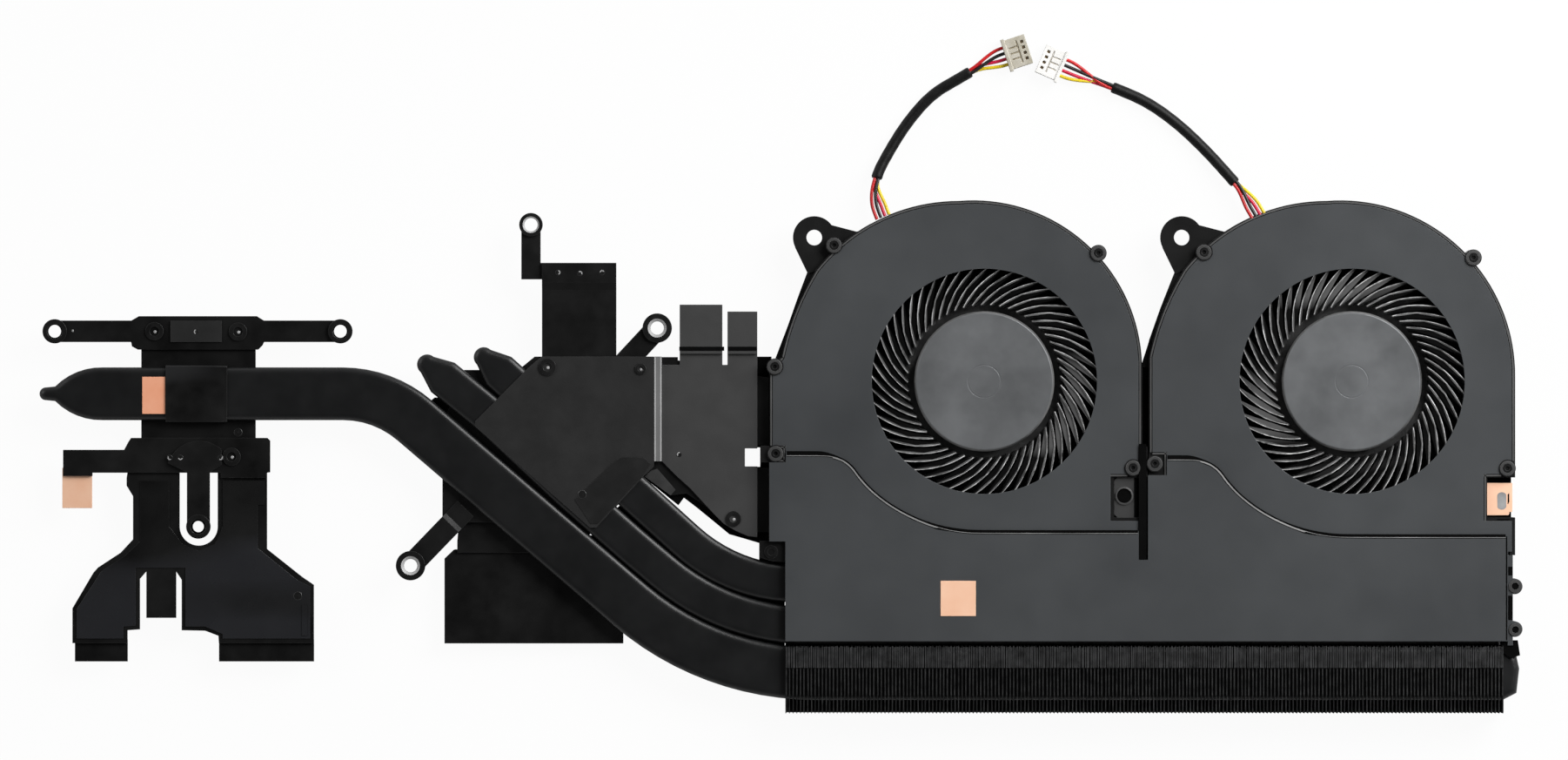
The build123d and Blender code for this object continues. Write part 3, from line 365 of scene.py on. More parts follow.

# %% [markdown]
# ## Coated metal
# The covers and the duct are sheet steel under a dark grey satin coat that is a little lighter where the
# light rakes it. The pipes are blackened copper with a finer, glossier skin. The plates of the modules are
# nearly black and matt. The film on the memory plate and the saddle over the pipe carry slanted bands of
# painted sheen, and the film's lighter patches are partly painted sheen as well. Edges lose some coat in
# handling, so they show a thin lighter line. A pipe has no sharp edges to wear. Its Bevel node spreads the
# turn of each edge wider than the frame has it, as on a drawn and flattened tube.

# %% Coated metal finishes
cover_coat = coated(
    "cover_coat", (0.049, 0.0525, 0.056), (0.066, 0.0705, 0.0745), (0.4, 0.5), 3000.0, 0.000008,
    patch=25.0, edge=(0.2, 0.21, 0.215), metallic=0.3,
)
duct_coat = coated(
    "duct_coat", (0.049, 0.0525, 0.056), (0.066, 0.0705, 0.0745), (0.4, 0.5), 3000.0, 0.000008,
    patch=25.0, metallic=0.3,
)
# The rim finish paints a highlight on the frame's rims round the covers, and is also the thin pale rim of the
# lug's hole.
rim_grey_and_highlight = coated("rim_grey_and_highlight", 0.08, 0.12, (0.34, 0.44), 3000.0, 0.000008, patch=60.0, metallic=0.3)
# The lip finish is a painted highlight on the edge of the duct's step.
lip_painted_highlight = coated("lip_painted_highlight", 0.2, 0.42, (0.34, 0.44), 3000.0, 0.000004, patch=120.0, metallic=0.2)
pipe_coat = coated(
    "pipe_coat", (0.005, 0.0052, 0.0055), (0.010, 0.0103, 0.0107), (0.3, 0.38), 2400.0, 0.000006,
    patch=60.0, gloss_level=0.45,
)


def soften_edges(material, radius):
    """Lets the light see this finish's edges as rounded over radius, as on a drawn and flattened tube."""
    tree = material.node_tree
    shader = tree.nodes["Principled BSDF"]
    rounded = tree.nodes.new("ShaderNodeBevel")
    rounded.samples = 16
    rounded.inputs["Radius"].default_value = radius
    grain = shader.inputs["Normal"].links[0].from_node
    tree.links.new(rounded.outputs["Normal"], grain.inputs["Normal"])


soften_edges(pipe_coat, 1.7 * mm)

# %% Finishes of the plates and sheets
plate_coat = coated(
    "plate_coat", 0.002, 0.009, (0.34, 0.5), 2600.0, 0.00001, patch=70.0, edge=(0.08, 0.08, 0.08),
    gloss_level=0.22,
)
# The saddle's slanted bands are painted sheen.
saddle_coat_and_sheen = coated(
    "saddle_coat_and_sheen", 0.003, 0.010, (0.32, 0.46), 2600.0, 0.00001, patch=90.0, edge=(0.08, 0.08, 0.08),
    gloss_level=0.25,
)
painted_sheen_bands(saddle_coat_and_sheen, (0.026, 0.0265, 0.028))
middle_coat = coated(
    "middle_coat", 0.012, 0.018, (0.4, 0.52), 2600.0, 0.00001, patch=60.0, edge=(0.07, 0.07, 0.07),
    gloss_level=0.4,
)
side_coat = coated(
    "side_coat", 0.034, 0.046, (0.42, 0.52), 2600.0, 0.00001, patch=60.0, edge=(0.12, 0.12, 0.12),
)
slot_grey = coated("slot_grey", 0.22, 0.36, (0.4, 0.5), 2600.0, 0.00001, patch=300.0)
plate_grey = coated(
    "plate_grey", 0.05, 0.07, (0.34, 0.46), 2600.0, 0.00001, patch=200.0, edge=(0.12, 0.12, 0.12),
    metallic=0.4,
)
hub_coat = coated(
    "hub_coat", (0.105, 0.109, 0.113), (0.160, 0.166, 0.172), (0.4, 0.5), 3400.0, 0.000006, patch=90.0,
    metallic=0.3,
)
black_steel = coated(
    "black_steel", 0.010, 0.020, (0.28, 0.4), 2000.0, 0.000008, patch=300.0, edge=(0.16, 0.16, 0.16),
    metallic=0.5,
)
# Black for the bushes, and painted shade in gaps, holes, slots and along the duct's step.
black_and_painted_shade = coated("black_and_painted_shade", 0.0015, 0.003, (0.5, 0.62), 1500.0, 0.00001, patch=200.0, gloss_level=0.04)
# The film's lighter patches are partly painted sheen, and its slanted bands are painted sheen.
film_sheet_and_sheen = coated("film_sheet_and_sheen", 0.002, 0.014, (0.2, 0.34), 1800.0, 0.00001, patch=38.0, gloss_level=0.35)
painted_sheen_bands(film_sheet_and_sheen, (0.019, 0.0195, 0.022))
tape_sheet = coated("tape_sheet", 0.008, 0.013, (0.34, 0.44), 1800.0, 0.00001, patch=90.0, gloss_level=0.4)
fin_metal = coated(
    "fin_metal", (0.010, 0.0105, 0.011), (0.018, 0.0185, 0.019), (0.34, 0.46), 3000.0, 0.000006,
    patch=120.0, metallic=0.5,
)
# The fold bars' lighter tones are painted highlights on the folded edges; the copy for the middle and outer
# bands is dimmer, painted shade of the stack's slope away from the light.
fin_fold_highlight = coated(
    "fin_fold_highlight", (0.030, 0.0305, 0.031), (0.085, 0.086, 0.088), (0.3, 0.42), 3000.0, 0.000006,
    patch=500.0, metallic=0.4,
)
fin_fold_dim_highlight = coated(
    "fin_fold_dim_highlight", (0.010, 0.0102, 0.0105), (0.045, 0.0455, 0.046), (0.32, 0.44), 3000.0, 0.000006,
    patch=500.0, metallic=0.4,
)
print("coated metal finishes ready")

# %% [markdown]
# ## Bare metal
# Bright steel and bare copper are brushed or rolled, so their noise is stretched along one axis. Copper also
# has darker, redder tarnish in soft clouds. A full metal would mirror the dark above the camera, so the
# rolled copper is mostly diffuse. The connectors' nylon and the painted shade in their windows and grooves
# follow here too.


# %% Bare metal finishes
def brushed(name, dark, light, rough, stretch, lines=900.0, depth=0.000006):
    """A bare metal finish with fine lines along one axis."""
    material, tree, shader = new_finish(name)
    place = tree.nodes.new("ShaderNodeTexCoord")
    clouds = noise(tree, place, 220.0)
    tree.links.new(
        mix_colours(tree, spread_between(tree, clouds, 0.0, 1.0), dark, light), shader.inputs["Base Color"]
    )
    streaks = noise(tree, place, lines, 3.0, 0.6, stretch)
    tree.links.new(spread_between(tree, streaks, rough[0], rough[1]), shader.inputs["Roughness"])
    add_bump(tree, shader, streaks, depth)
    shader.inputs["Metallic"].default_value = 1.0
    return material


bright_steel = brushed("bright_steel", 0.5, 0.62, (0.24, 0.32), (1, 0.05, 1), 2400.0, 0.000001)
rail_steel = coated("rail_steel", 0.17, 0.22, (0.3, 0.4), 2400.0, 0.000002, metallic=0.2)
# This bright steel also paints the glints on the welds and rivets.
rib_steel_and_glints = coated("rib_steel_and_glints", 0.42, 0.55, (0.3, 0.4), 2400.0, 0.000002, metallic=0.2)
bare_copper = brushed("bare_copper", (0.96, 0.56, 0.37), (1.0, 0.63, 0.44), (0.42, 0.54), (8, 1, 1))
pad_copper = brushed("pad_copper", (0.95, 0.40, 0.23), (1.0, 0.47, 0.29), (0.42, 0.54), (8, 1, 1))
rolled_metallic = 0.1
for copper in (bare_copper, pad_copper):
    copper.node_tree.nodes["Principled BSDF"].inputs["Metallic"].default_value = rolled_metallic
coil_copper = brushed(
    "coil_copper", (0.55, 0.2, 0.09), (0.8, 0.34, 0.17), (0.25, 0.35), (1, 1, 12), 2600.0, 0.00003,
)
bearing_brass = brushed("bearing_brass", (0.6, 0.42, 0.16), (0.78, 0.6, 0.27), (0.2, 0.3), (1, 1, 8))
magnet_black = coated("magnet_black", 0.02, 0.035, (0.45, 0.6), 3000.0, 0.00001, metallic=0.4)
core_steel = brushed("core_steel", 0.16, 0.26, (0.3, 0.42), (1, 1, 30), 1500.0, 0.00003)
board_green = coated("board_green", (0.006, 0.04, 0.016), (0.01, 0.07, 0.028), (0.2, 0.3), 1500.0, 0.00001)
print("bare metal finishes ready")

# %% Nylon finishes
white_nylon = coated(
    "white_nylon", (0.8, 0.79, 0.76), (0.9, 0.89, 0.87), (0.3, 0.42), 1600.0, 0.00001, patch=200.0,
)
# The left connector's nylon is darker and more beige than the right one's.
darker_nylon = coated(
    "darker_nylon", (0.40, 0.37, 0.29), (0.55, 0.52, 0.45), (0.3, 0.42), 1600.0, 0.00001, patch=300.0,
)
# The brown of the windows and the tones of the grooves are painted shade.
window_shade_brown = coated(
    "window_shade_brown", (0.05, 0.03, 0.012), (0.16, 0.11, 0.05), (0.4, 0.5), 2600.0, 0.00001, patch=500.0,
)
groove_shade_brown = coated(
    "groove_shade_brown", (0.2, 0.16, 0.09), (0.42, 0.37, 0.27), (0.4, 0.5), 2600.0, 0.00001, patch=500.0,
)
groove_shade_pale = coated(
    "groove_shade_pale", (0.5, 0.46, 0.38), (0.74, 0.71, 0.65), (0.4, 0.5), 2600.0, 0.00001, patch=500.0,
)
print("nylon finishes ready")

# %% [markdown]
# ## Wires and sleeves
# Now that their finishes exist, the leads can be built. The order of the colours follows the picture: red,
# black, crimson and yellow.

# %% Wires and sleeves
wire_r = 0.37 * mm
wire_sides = 10
fan_pitch = 0.95
contact_pitch = 1.25
sleeve_r = 1.2 * mm
sleeve_sides = 20
packed = [(-0.38, 0.38), (0.38, 0.38), (-0.38, -0.38), (0.38, -0.38)]
wire_colours = [red_wire, black_wire, crimson_wire, yellow_wire]


def smooth_step(value, start, stop):
    """0 before start, 1 after stop, and a soft change between."""
    share = min(max((value - start) / (stop - start), 0.0), 1.0)
    return share * share * (3 - 2 * share)


def wire_centres(points, wire, fan_pitch, plug_pitch, sleeve_start, sleeve_stop):
    """The centre line of one wire of a lead, numbered from 0 across the connector."""
    up = Vector((0, 0, 1))
    far = lengths_along(points)
    centres = []
    for place, point in enumerate(points):
        before = points[max(place - 1, 0)]
        after = points[min(place + 1, len(points) - 1)]
        along = (after - before).normalized()
        side = along.cross(up).normalized()
        at_fan = 1 - smooth_step(far[place], 0.25 * sleeve_start, sleeve_start)
        at_plug = smooth_step(far[place], sleeve_stop, far[-1] - 0.6 * mm)
        inside = 1 - at_fan - at_plug
        across = (wire - 1.5) * (at_fan * fan_pitch + at_plug * plug_pitch) + inside * packed[wire][0] * mm
        raised = inside * packed[wire][1] * mm
        centres.append(point + side * across + up * raised)
    return centres


def make_lead(side_name, points, plug_side, sleeve_start, sleeve_stop):
    """One lead as a mesh: four wires, and the sleeve round their middle. plug_side is 1 or -1."""
    mesh = bmesh.new()
    for wire in range(4):
        centres = wire_centres(
            points, wire, fan_pitch * mm, contact_pitch * mm * plug_side, sleeve_start, sleeve_stop
        )
        add_tube(mesh, centres, wire_r, wire_sides, wire)
    far = lengths_along(points)
    covered = [point for point, distance in zip(points, far) if sleeve_start <= distance <= sleeve_stop]
    ripple = [sleeve_r * (1 + 0.01 * math.sin(place * 0.9)) for place in range(len(covered))]
    ripple[0] = ripple[0] * 0.9
    ripple[-1] = ripple[-1] * 0.9
    add_tube(mesh, covered, ripple, sleeve_sides, 4)
    lead = add_object(f"{side_name}_wires", mesh, "cooler", [*wire_colours, sleeve_rubber])
    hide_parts(f"{side_name}_lead")
    print(side_name, "lead", round(far[-1] / mm, 1), "mm")


make_lead("left_fan", left_points, 1, 8.7 * mm, 41.0 * mm)
make_lead("right_fan", right_points, -1, 9.1 * mm, 44.0 * mm)

# %% [markdown]
# ## Finishes on the frame's own pieces
# Each piece of the frame keeps its shape and gets a finish. The exported solids have perfectly sharp edges,
# which never catch the light. Two modifiers mend that without touching the mesh: Weld joins the vertices
# that the export split, and Bevel rounds the edges of more than 30 degrees by about a tenth of a millimetre.
# A width of 0 leaves a piece as it is: the pipes are round enough, and the duct plate's edge is remade later.

# %% Finishes for each piece
finish_of = {
    housing_plastic: ["left_fan_frame", "right_fan_frame"],
    impeller_plastic: ["left_fan_impeller", "right_fan_impeller"],
    cover_coat: ["left_fan_cover", "right_fan_cover", "duct_end_rail"],
    duct_coat: ["duct_cover_plate"],
    fin_metal: ["fin_stack"],
    pipe_coat: ["long_heat_pipe", "middle_heat_pipe", "upper_heat_pipe"],
    plate_coat: [
        "left_base_plate", "left_memory_plate", "left_lower_bar", "left_finger_arm",
        "left_upper_spring_arm", "centre_base_plate", "centre_lower_plate",
        "centre_upper_bracket", "centre_upper_spring_arm", "centre_right_spring_arm",
        "centre_left_spring_arm", "side_lower_plate",
    ],
    saddle_coat_and_sheen: ["left_pipe_saddle"],
    middle_coat: ["centre_cover_plate"],
    side_coat: ["side_plate"],
    rail_steel: ["centre_edge_rail"],
    film_sheet_and_sheen: ["left_memory_film"],
    tape_sheet: ["centre_cover_tape"],
    bright_steel: [
        "left_fan_rotor_shaft", "right_fan_rotor_shaft", "left_fan_rotor_yoke", "right_fan_rotor_yoke",
    ],
    black_steel: [
        "left_screw_collars", "centre_screw_collars", "left_rivets", "centre_rivets",
        "left_fan_screws", "right_fan_screws",
    ],
    core_steel: ["left_fan_stator_core", "right_fan_stator_core"],
    bare_copper: [
        "left_cold_plate", "centre_cold_plate", "left_copper_tab", "duct_copper_pad", "right_fan_copper_clip",
    ],
    pad_copper: ["left_pipe_copper_pad"],
    coil_copper: ["left_fan_stator_coils", "right_fan_stator_coils"],
    bearing_brass: ["left_fan_bearing_sleeve", "right_fan_bearing_sleeve"],
    magnet_black: ["left_fan_magnet_ring", "right_fan_magnet_ring"],
    board_green: ["left_fan_motor_board", "right_fan_motor_board"],
    white_nylon: ["right_fan_connector"],
    darker_nylon: ["left_fan_connector"],
    sleeve_rubber: ["left_fan_lead", "right_fan_lead"],
}
dressed = 0
for material, names in finish_of.items():
    for name in names:
        piece = nodes[name]
        piece.data.materials.clear()
        piece.data.materials.append(material)
        dressed += 1
print("dressed", dressed, "of", len(nodes), "pieces")

# %% Rounded edges
usual_width = 0.08
round_width = {
    "fin_stack": 0.02, "long_heat_pipe": 0.0, "middle_heat_pipe": 0.0, "upper_heat_pipe": 0.0,
    "left_fan_impeller": 0.06, "right_fan_impeller": 0.06, "left_fan_frame": 0.15, "right_fan_frame": 0.15,
    "left_fan_connector": 0.18, "right_fan_connector": 0.18, "duct_cover_plate": 0.0,
}
same_vertex = 0.002 * mm
sharp_from = math.radians(30)


def round_edges(piece, width):
    """Joins split vertices and rounds sharp edges by width, in metres."""
    weld = piece.modifiers.new("Weld", "WELD")
    weld.merge_threshold = same_vertex
    bevel = piece.modifiers.new("Bevel", "BEVEL")
    bevel.width = width
    bevel.segments = 2
    bevel.limit_method = "ANGLE"
    bevel.angle_limit = sharp_from
    bevel.use_clamp_overlap = True
    bevel.harden_normals = True


rounded_count = 0
for name, piece in nodes.items():
    width = round_width.get(name, usual_width)
    if width and not name.endswith("_lead"):
        round_edges(piece, width * mm)
        rounded_count += 1
print("rounded", rounded_count, "pieces")

# %% [markdown]
# ## Small features
# A close look at such a cooler shows much that a drawing leaves out: spot welds, dimples, folded fins, the
# dark seam where the duct laps over the covers. They are real relief here, though some carry painted light in
# their colour: the seam's dark line is painted shadow, the bright sides of welds and rivets are painted
# glints, and the fin folds' lighter tones are painted highlights. Three helpers are enough: one turns a
# profile round an upright axis, one raises a flat outline to a slab, and one lays a flat bar along a line.
# Profiles and outlines are in millimetres, in the frame's own coordinates. Each feature sinks a little into
# the surface below it, so no light shows under it. The heights of those surfaces come first.

# %% Heights and axes
film_top = 5.8
base_top = 5.6
arm_top = 6.3
stiffener_top = 6.6
upper_arm_top = 7.0
clip_top = 8.0
middle_top = 8.3
tape_top = 8.4
rail_top = 9.0
cover_top = 9.4
duct_top = 9.8
sunk = 0.02
fan_axes = {"left": 44.3, "right": 124.3}
axis_y = 16.4


# %% A helper that turns a profile
def add_turned(mesh, x, y, loop, sides=32, slot=0):
    """Adds a ring that is the closed loop of radius and height pairs, turned about the axis at x, y."""
    rings = []
    for radius, height in loop:
        ring = []
        for step in range(sides):
            turn = 2 * math.pi * step / sides
            ring.append(mesh.verts.new(
                ((x + radius * math.cos(turn)) * mm, (y + radius * math.sin(turn)) * mm, height * mm)
            ))
        rings.append(ring)
    for ring, following in zip(rings, rings[1:] + rings[:1]):
        for step in range(sides):
            corner = (step + 1) % sides
            face = mesh.faces.new((ring[step], ring[corner], following[corner], following[step]))
            face.material_index = slot
            face.smooth = True


# %% Helpers that raise an outline and follow a line
def add_slab(mesh, outline, low, high, slot=0):
    """Adds a slab with this outline, a list of x, y pairs, between two heights."""
    under = [mesh.verts.new((x * mm, y * mm, low * mm)) for x, y in outline]
    over = [mesh.verts.new((x * mm, y * mm, high * mm)) for x, y in outline]
    faces = [mesh.faces.new(under[::-1]), mesh.faces.new(over)]
    for place in range(len(outline)):
        after = (place + 1) % len(outline)
        faces.append(mesh.faces.new((under[place], under[after], over[after], over[place])))
    for face in faces:
        face.material_index = slot


def add_ribbon(mesh, line, near, far, low, high, slot=0):
    """Adds a flat bar along a line of x, y pairs, from near to far on its left. Each may be a list."""
    rings = []
    for place, (x, y) in enumerate(line):
        before = line[max(place - 1, 0)]
        after = line[min(place + 1, len(line) - 1)]
        along = Vector((after[0] - before[0], after[1] - before[1])).normalized()
        sides = [distance[place] if isinstance(distance, list) else distance for distance in (near, far)]
        ring = []
        for distance, height in ((sides[0], low), (sides[1], low), (sides[1], high), (sides[0], high)):
            corner = ((x - along.y * distance) * mm, (y + along.x * distance) * mm, height * mm)
            ring.append(mesh.verts.new(corner))
        rings.append(ring)
    faces = [mesh.faces.new(rings[0][::-1]), mesh.faces.new(rings[-1])]
    for ring, following in zip(rings, rings[1:]):
        for step in range(4):
            corner = (step + 1) % 4
            faces.append(mesh.faces.new((ring[step], ring[corner], following[corner], following[step])))
    for face in faces:
        face.material_index = slot


def box_outline(left, low, right, high):
    """The outline of an upright rectangle."""
    return [(left, low), (right, low), (right, high), (left, high)]


# %% [markdown]
# ## Spot welds, dimples and bushes
# The arms are welded to their plates at single spots. A weld leaves a shallow black crater with a raised lip
# about a millimetre across, and a bright crescent on one side of the lip is a painted glint. The rivets'
# sunken middles hold a small bright dome, a painted glint as well. A low ring, a crescent and a dome are
# enough for them. The left module's screw holes are lined with black bushes, and the middle of its upper arm
# has a paler stiffening patch.

# %% Places of welds, dimples and rivets
weld_places = [
    (-127.3, 27.2, stiffener_top), (-133.0, -0.2, upper_arm_top), (-130.7, -0.2, upper_arm_top),
    (-122.0, -0.2, upper_arm_top), (-48.5, 40.1, upper_arm_top), (-43.7, 39.9, upper_arm_top),
    (-38.9, 40.1, upper_arm_top), (-22.1, 0.5, upper_arm_top),
]
dimple_places = [(-118.2, 5.3, base_top), (-105.2, -30.3, film_top), (-43.2, -8.2, tape_top)]
rivet_middles = [
    (-136.4, 27.3, arm_top), (-118.2, 27.2, arm_top), (-119.6, 0.0, arm_top),
    (-50.8, 19.5, middle_top), (-30.5, 19.1, middle_top), (-10.3, -13.5, upper_arm_top),
]
print("welds", len(weld_places), "dimples", len(dimple_places), "rivets", len(rivet_middles))

# %% Spot welds and dimples
lip_outer = 0.5
lip_inner = 0.3
crescent_turn = 47
marks = bmesh.new()


def add_glint_crescent(x, y, top, start, stop):
    """Adds a painted glint on one side of a weld's lip, between two directions in degrees."""
    outer = []
    inner = []
    for step in range(9):
        turn = math.radians(start + (stop - start) * step / 8)
        outer.append((x + lip_outer * math.cos(turn), y + lip_outer * math.sin(turn)))
        inner.append((x + lip_inner * math.cos(turn), y + lip_inner * math.sin(turn)))
    add_slab(marks, outer + inner[::-1], top - sunk, top + 0.1, 1)


def add_glint_speck(x, y, top, size):
    """Adds a small bright dome, a painted glint."""
    add_turned(marks, x, y, [(size, top), (size * 0.7, top + 0.07), (0.02, top + 0.1), (0.02, top)], 16, 1)


for place, (x, y, top) in enumerate(weld_places):
    crater = [
        (0.62, top - sunk), (0.54, top + 0.05), (0.4, top + 0.06), (0.02, top + 0.01), (0.02, top - sunk),
    ]
    add_turned(marks, x, y, crater, 24)
    add_glint_crescent(x, y, top, 100 + place * crescent_turn, 250 + place * crescent_turn)
for x, y, top in dimple_places:
    bowl = [(0.95, top - sunk), (0.85, top + 0.04), (0.6, top + 0.03), (0.02, top + 0.1), (0.02, top - sunk)]
    add_turned(marks, x, y, bowl, 24)
for x, y, floor in rivet_middles:
    add_glint_speck(x + 0.15, y - 0.12, floor, 0.34)
add_glint_speck(-154.2, 27.4, arm_top, 0.25)
add_object("plate_marks", marks, "cooler", [black_steel, rib_steel_and_glints], 16)
print("plate marks ready")

# %% Bushes and the upper arm's patch
bush_r = 1.62
bush_depth = 1.2
bushes = bmesh.new()
for x, y, top, bore in ((-158.1, 27.3, 7.08, 1.4), (-95.9, 27.3, 7.08, 1.4), (-126.8, -15.2, 7.78, 1.22)):
    bush = [
        (bush_r, top - bush_depth), (bush_r, top), (bore + 0.04, top), (bore, top - 0.04),
        (bore, top - bush_depth),
    ]
    add_turned(bushes, x, y, bush, 48)
add_object("screw_bushes", bushes, "cooler", [black_and_painted_shade], 16)

worn_patch = bmesh.new()
add_slab(worn_patch, box_outline(-132.9, 25.0, -121.8, 29.6), stiffener_top - 0.1, stiffener_top + 0.04)
add_object("arm_patch", worn_patch, "cooler", [middle_coat])
print("bushes and patch ready")

# %% [markdown]
# ## Bright chamfers in the screw rings
# The three rings of the middle module are black outside, but their inner chamfers are cut after blackening,
# so they shine. Each is a thin cone of bare steel laid on the frame's own chamfer.

# %% Bright chamfers
chamfer_rings = [(-54.4, 50.5, 7.1, 0.35), (-26.9, 28.0, 7.8, 0.6), (-80.6, -23.7, 7.8, 0.6)]
ring_bore = 1.45
chamfers = bmesh.new()
for x, y, top, sink in chamfer_rings:
    cone = [
        (ring_bore + 0.03, top - sink + 0.02), (ring_bore + sink, top - 0.01),
        (ring_bore + sink, top + 0.015), (ring_bore + 0.01, top - sink + 0.045),
    ]
    add_turned(chamfers, x, y, cone, 48)
add_object("ring_chamfers", chamfers, "cooler", [rib_steel_and_glints], 16)
print("bright chamfers", len(chamfer_rings))

# %% [markdown]
# ## Hubs
# The steel cup in each fan's hub is covered by a satin grey disc with one fine engraved circle. It turns with
# the impeller, so it rides on the rotor.

# %% Hub discs
hub_face = 8.47
hub_foot = 8.36


def make_hub(name, x, body):
    """The grey disc on one fan's hub."""
    disc = bmesh.new()
    loop = [
        (14.8, hub_foot), (14.9, hub_foot + 0.02), (14.72, hub_face),
        (3.72, hub_face), (3.66, hub_face - 0.03), (3.46, hub_face - 0.03), (3.4, hub_face),
        (0.02, hub_face), (0.02, hub_foot),
    ]
    add_turned(disc, x, axis_y, loop, 96)
    add_object(name, disc, body, [hub_coat], 16)


for side, axis_x in fan_axes.items():
    make_hub(f"{side}_hub_disc", axis_x, f"{side}_rotor")
print("hub discs ready")

# %% [markdown]
# ## Blade edges
# The blades are dark and glossy, and their thin top edges show as fine bright lines: painted highlights. Each
# line is a narrow ridge on the blade's curved top, a little uneven, as flash along a mould's parting line is,
# in a pale colour that paints the highlight. The ridges follow the same sweep as the blades: the further out,
# the further a blade leans back. Beside each ridge a low leaf stands for the blade's own glossy face. Its
# colour is black with slanted bands of painted sheen, so it shines in some places and stays black in others.

# %% Blade edges
blade_count = 53
blade_root = 16.6
blade_sweep = 2.67
blade_shift = 1.2
blade_steps = 15
ridge_step = 0.62
ridge_low = 8.16
ridge_high = 8.27
leaf_reach = 1.25
leaf_low = 7.9
leaf_high = 8.0
blade_dice = random.Random(11)


def make_blade_edges(name, x, body):
    """The top edges of one impeller's blades, pale with a painted highlight, with a leaf of painted sheen
    beside each.
    """
    ridges = bmesh.new()
    reach = [-leaf_reach * math.sin(math.pi * (step + 1) / (blade_steps + 1)) for step in range(blade_steps)]
    for blade in range(blade_count):
        turned = 2 * math.pi * blade / blade_count
        line = []
        width = []
        sharpness = blade_dice.uniform(0.55, 1.1)
        for step in range(blade_steps):
            radius = blade_root + 0.1 + step * ridge_step
            swept = math.radians(-blade_sweep * (radius - blade_root))
            local = Vector((radius * math.cos(swept), radius * math.sin(swept) + blade_shift))
            local.rotate(Matrix.Rotation(turned, 2))
            line.append((x + local.x, axis_y + local.y))
            width.append((0.05 + 0.05 * blade_dice.random()) * sharpness)
        add_ribbon(ridges, line, [-value for value in width], width, ridge_low, ridge_high)
        add_ribbon(ridges, line, reach, -0.12, leaf_low, leaf_high, 1)
    add_object(name, ridges, body, [blade_edge_painted_highlight, blade_face_painted_sheen])


for side, axis_x in fan_axes.items():
    make_blade_edges(f"{side}_blade_edges", axis_x, f"{side}_rotor")
print("blade edges", 2 * blade_count)

# %% [markdown]
# ## The duct's seam and the covers' rims
# The duct plate laps over the two covers, and its long S-shaped edge shows as a dark line with a bright lip.
# The line is the painted shadow of the step, a black ribbon: widest where the plate starts, thin along the S,
# and wider again where it runs straight. The bright lip beside it is a painted highlight. The right fan's
# seam is the left one again, 80 mm further and 0.9 mm lower. A small patch of duct metal under the lip keeps
# the line smooth where the frame's own edge is a polygon.
# Round each cover runs the frame's own rim: a fine bright line of painted highlight just outside a dark line
# of painted shade in the gap. Each boss has a low ring round its screw.

# %% Seam along the duct
seam_course = [
    (1.3, 0.3), (8.6, 0.3), (10.8, 0.2), (12.8, -0.35), (14.2, -1.1), (15.6, -2.3), (17.3, -4.7),
    (20.0, -7.6), (23.9, -10.6), (28.4, -13.1), (33.9, -15.3), (39.5, -16.45), (45.0, -16.6), (77.7, -16.6),
]
under_lip = [(23.5, -11.0), (28.4, -13.6), (33.9, -15.8), (38.5, -16.6), (28.5, -16.5), (26.5, -13.6)]
right_seam_start = 84.1
seam_foot = cover_top - sunk
seam_top = duct_top + 0.03
lip_top = duct_top + 0.06
thin_width = 0.5
seam = bmesh.new()
for shift_x, shift_y in ((0.0, 0.0), (80.0, -0.9)):
    course = [Vector((x + shift_x, y + shift_y, duct_top)) * mm for x, y in seam_course]
    if shift_x:
        course[0].x = right_seam_start * mm
    line = [(point.x / mm, point.y / mm) for point in smooth_points(course)]
    width = []
    for x, y in line:
        thin = smooth_step(x - shift_x, 8.0, 13.0)
        wide_again = smooth_step(x - shift_x, 28.0, 40.0)
        width.append(0.95 - 0.6 * thin + 0.3 * wide_again)
    # The black ribbon is the step's painted shadow; the next two paint the highlight on the lip and a strip
    # of shade beyond it.
    add_ribbon(seam, line, 0.0, width, seam_foot, seam_top, 0)
    lip = [-0.12 - 0.2 * (width_here < thin_width) for width_here in width]
    add_ribbon(seam, line, lip, 0.0, seam_foot, lip_top, 1)
    add_ribbon(seam, line, [edge - 0.16 for edge in lip], lip, seam_foot, seam_top - 0.01, 0)
    shifted = [(x + shift_x, y + shift_y) for x, y in under_lip]
    add_slab(seam, shifted, seam_foot, seam_top - 0.02, 2)
# These two black ribbons paint shade along the duct's end rail and at the clip's notch.
add_ribbon(seam, [(157.75, -17.3), (157.75, -39.9)], 0.0, 0.3, rail_top, seam_top, 0)
add_ribbon(seam, [(155.8, -13.75), (158.6, -13.75)], 0.0, 0.25, seam_foot, seam_foot + 0.05, 0)
add_object("duct_seam", seam, "cooler", [black_and_painted_shade, lip_painted_highlight, duct_coat])
print("duct seam ready")

# %% Rims round the covers
rim_foot = 9.2
far_from_axis = 30
above_duct = -4


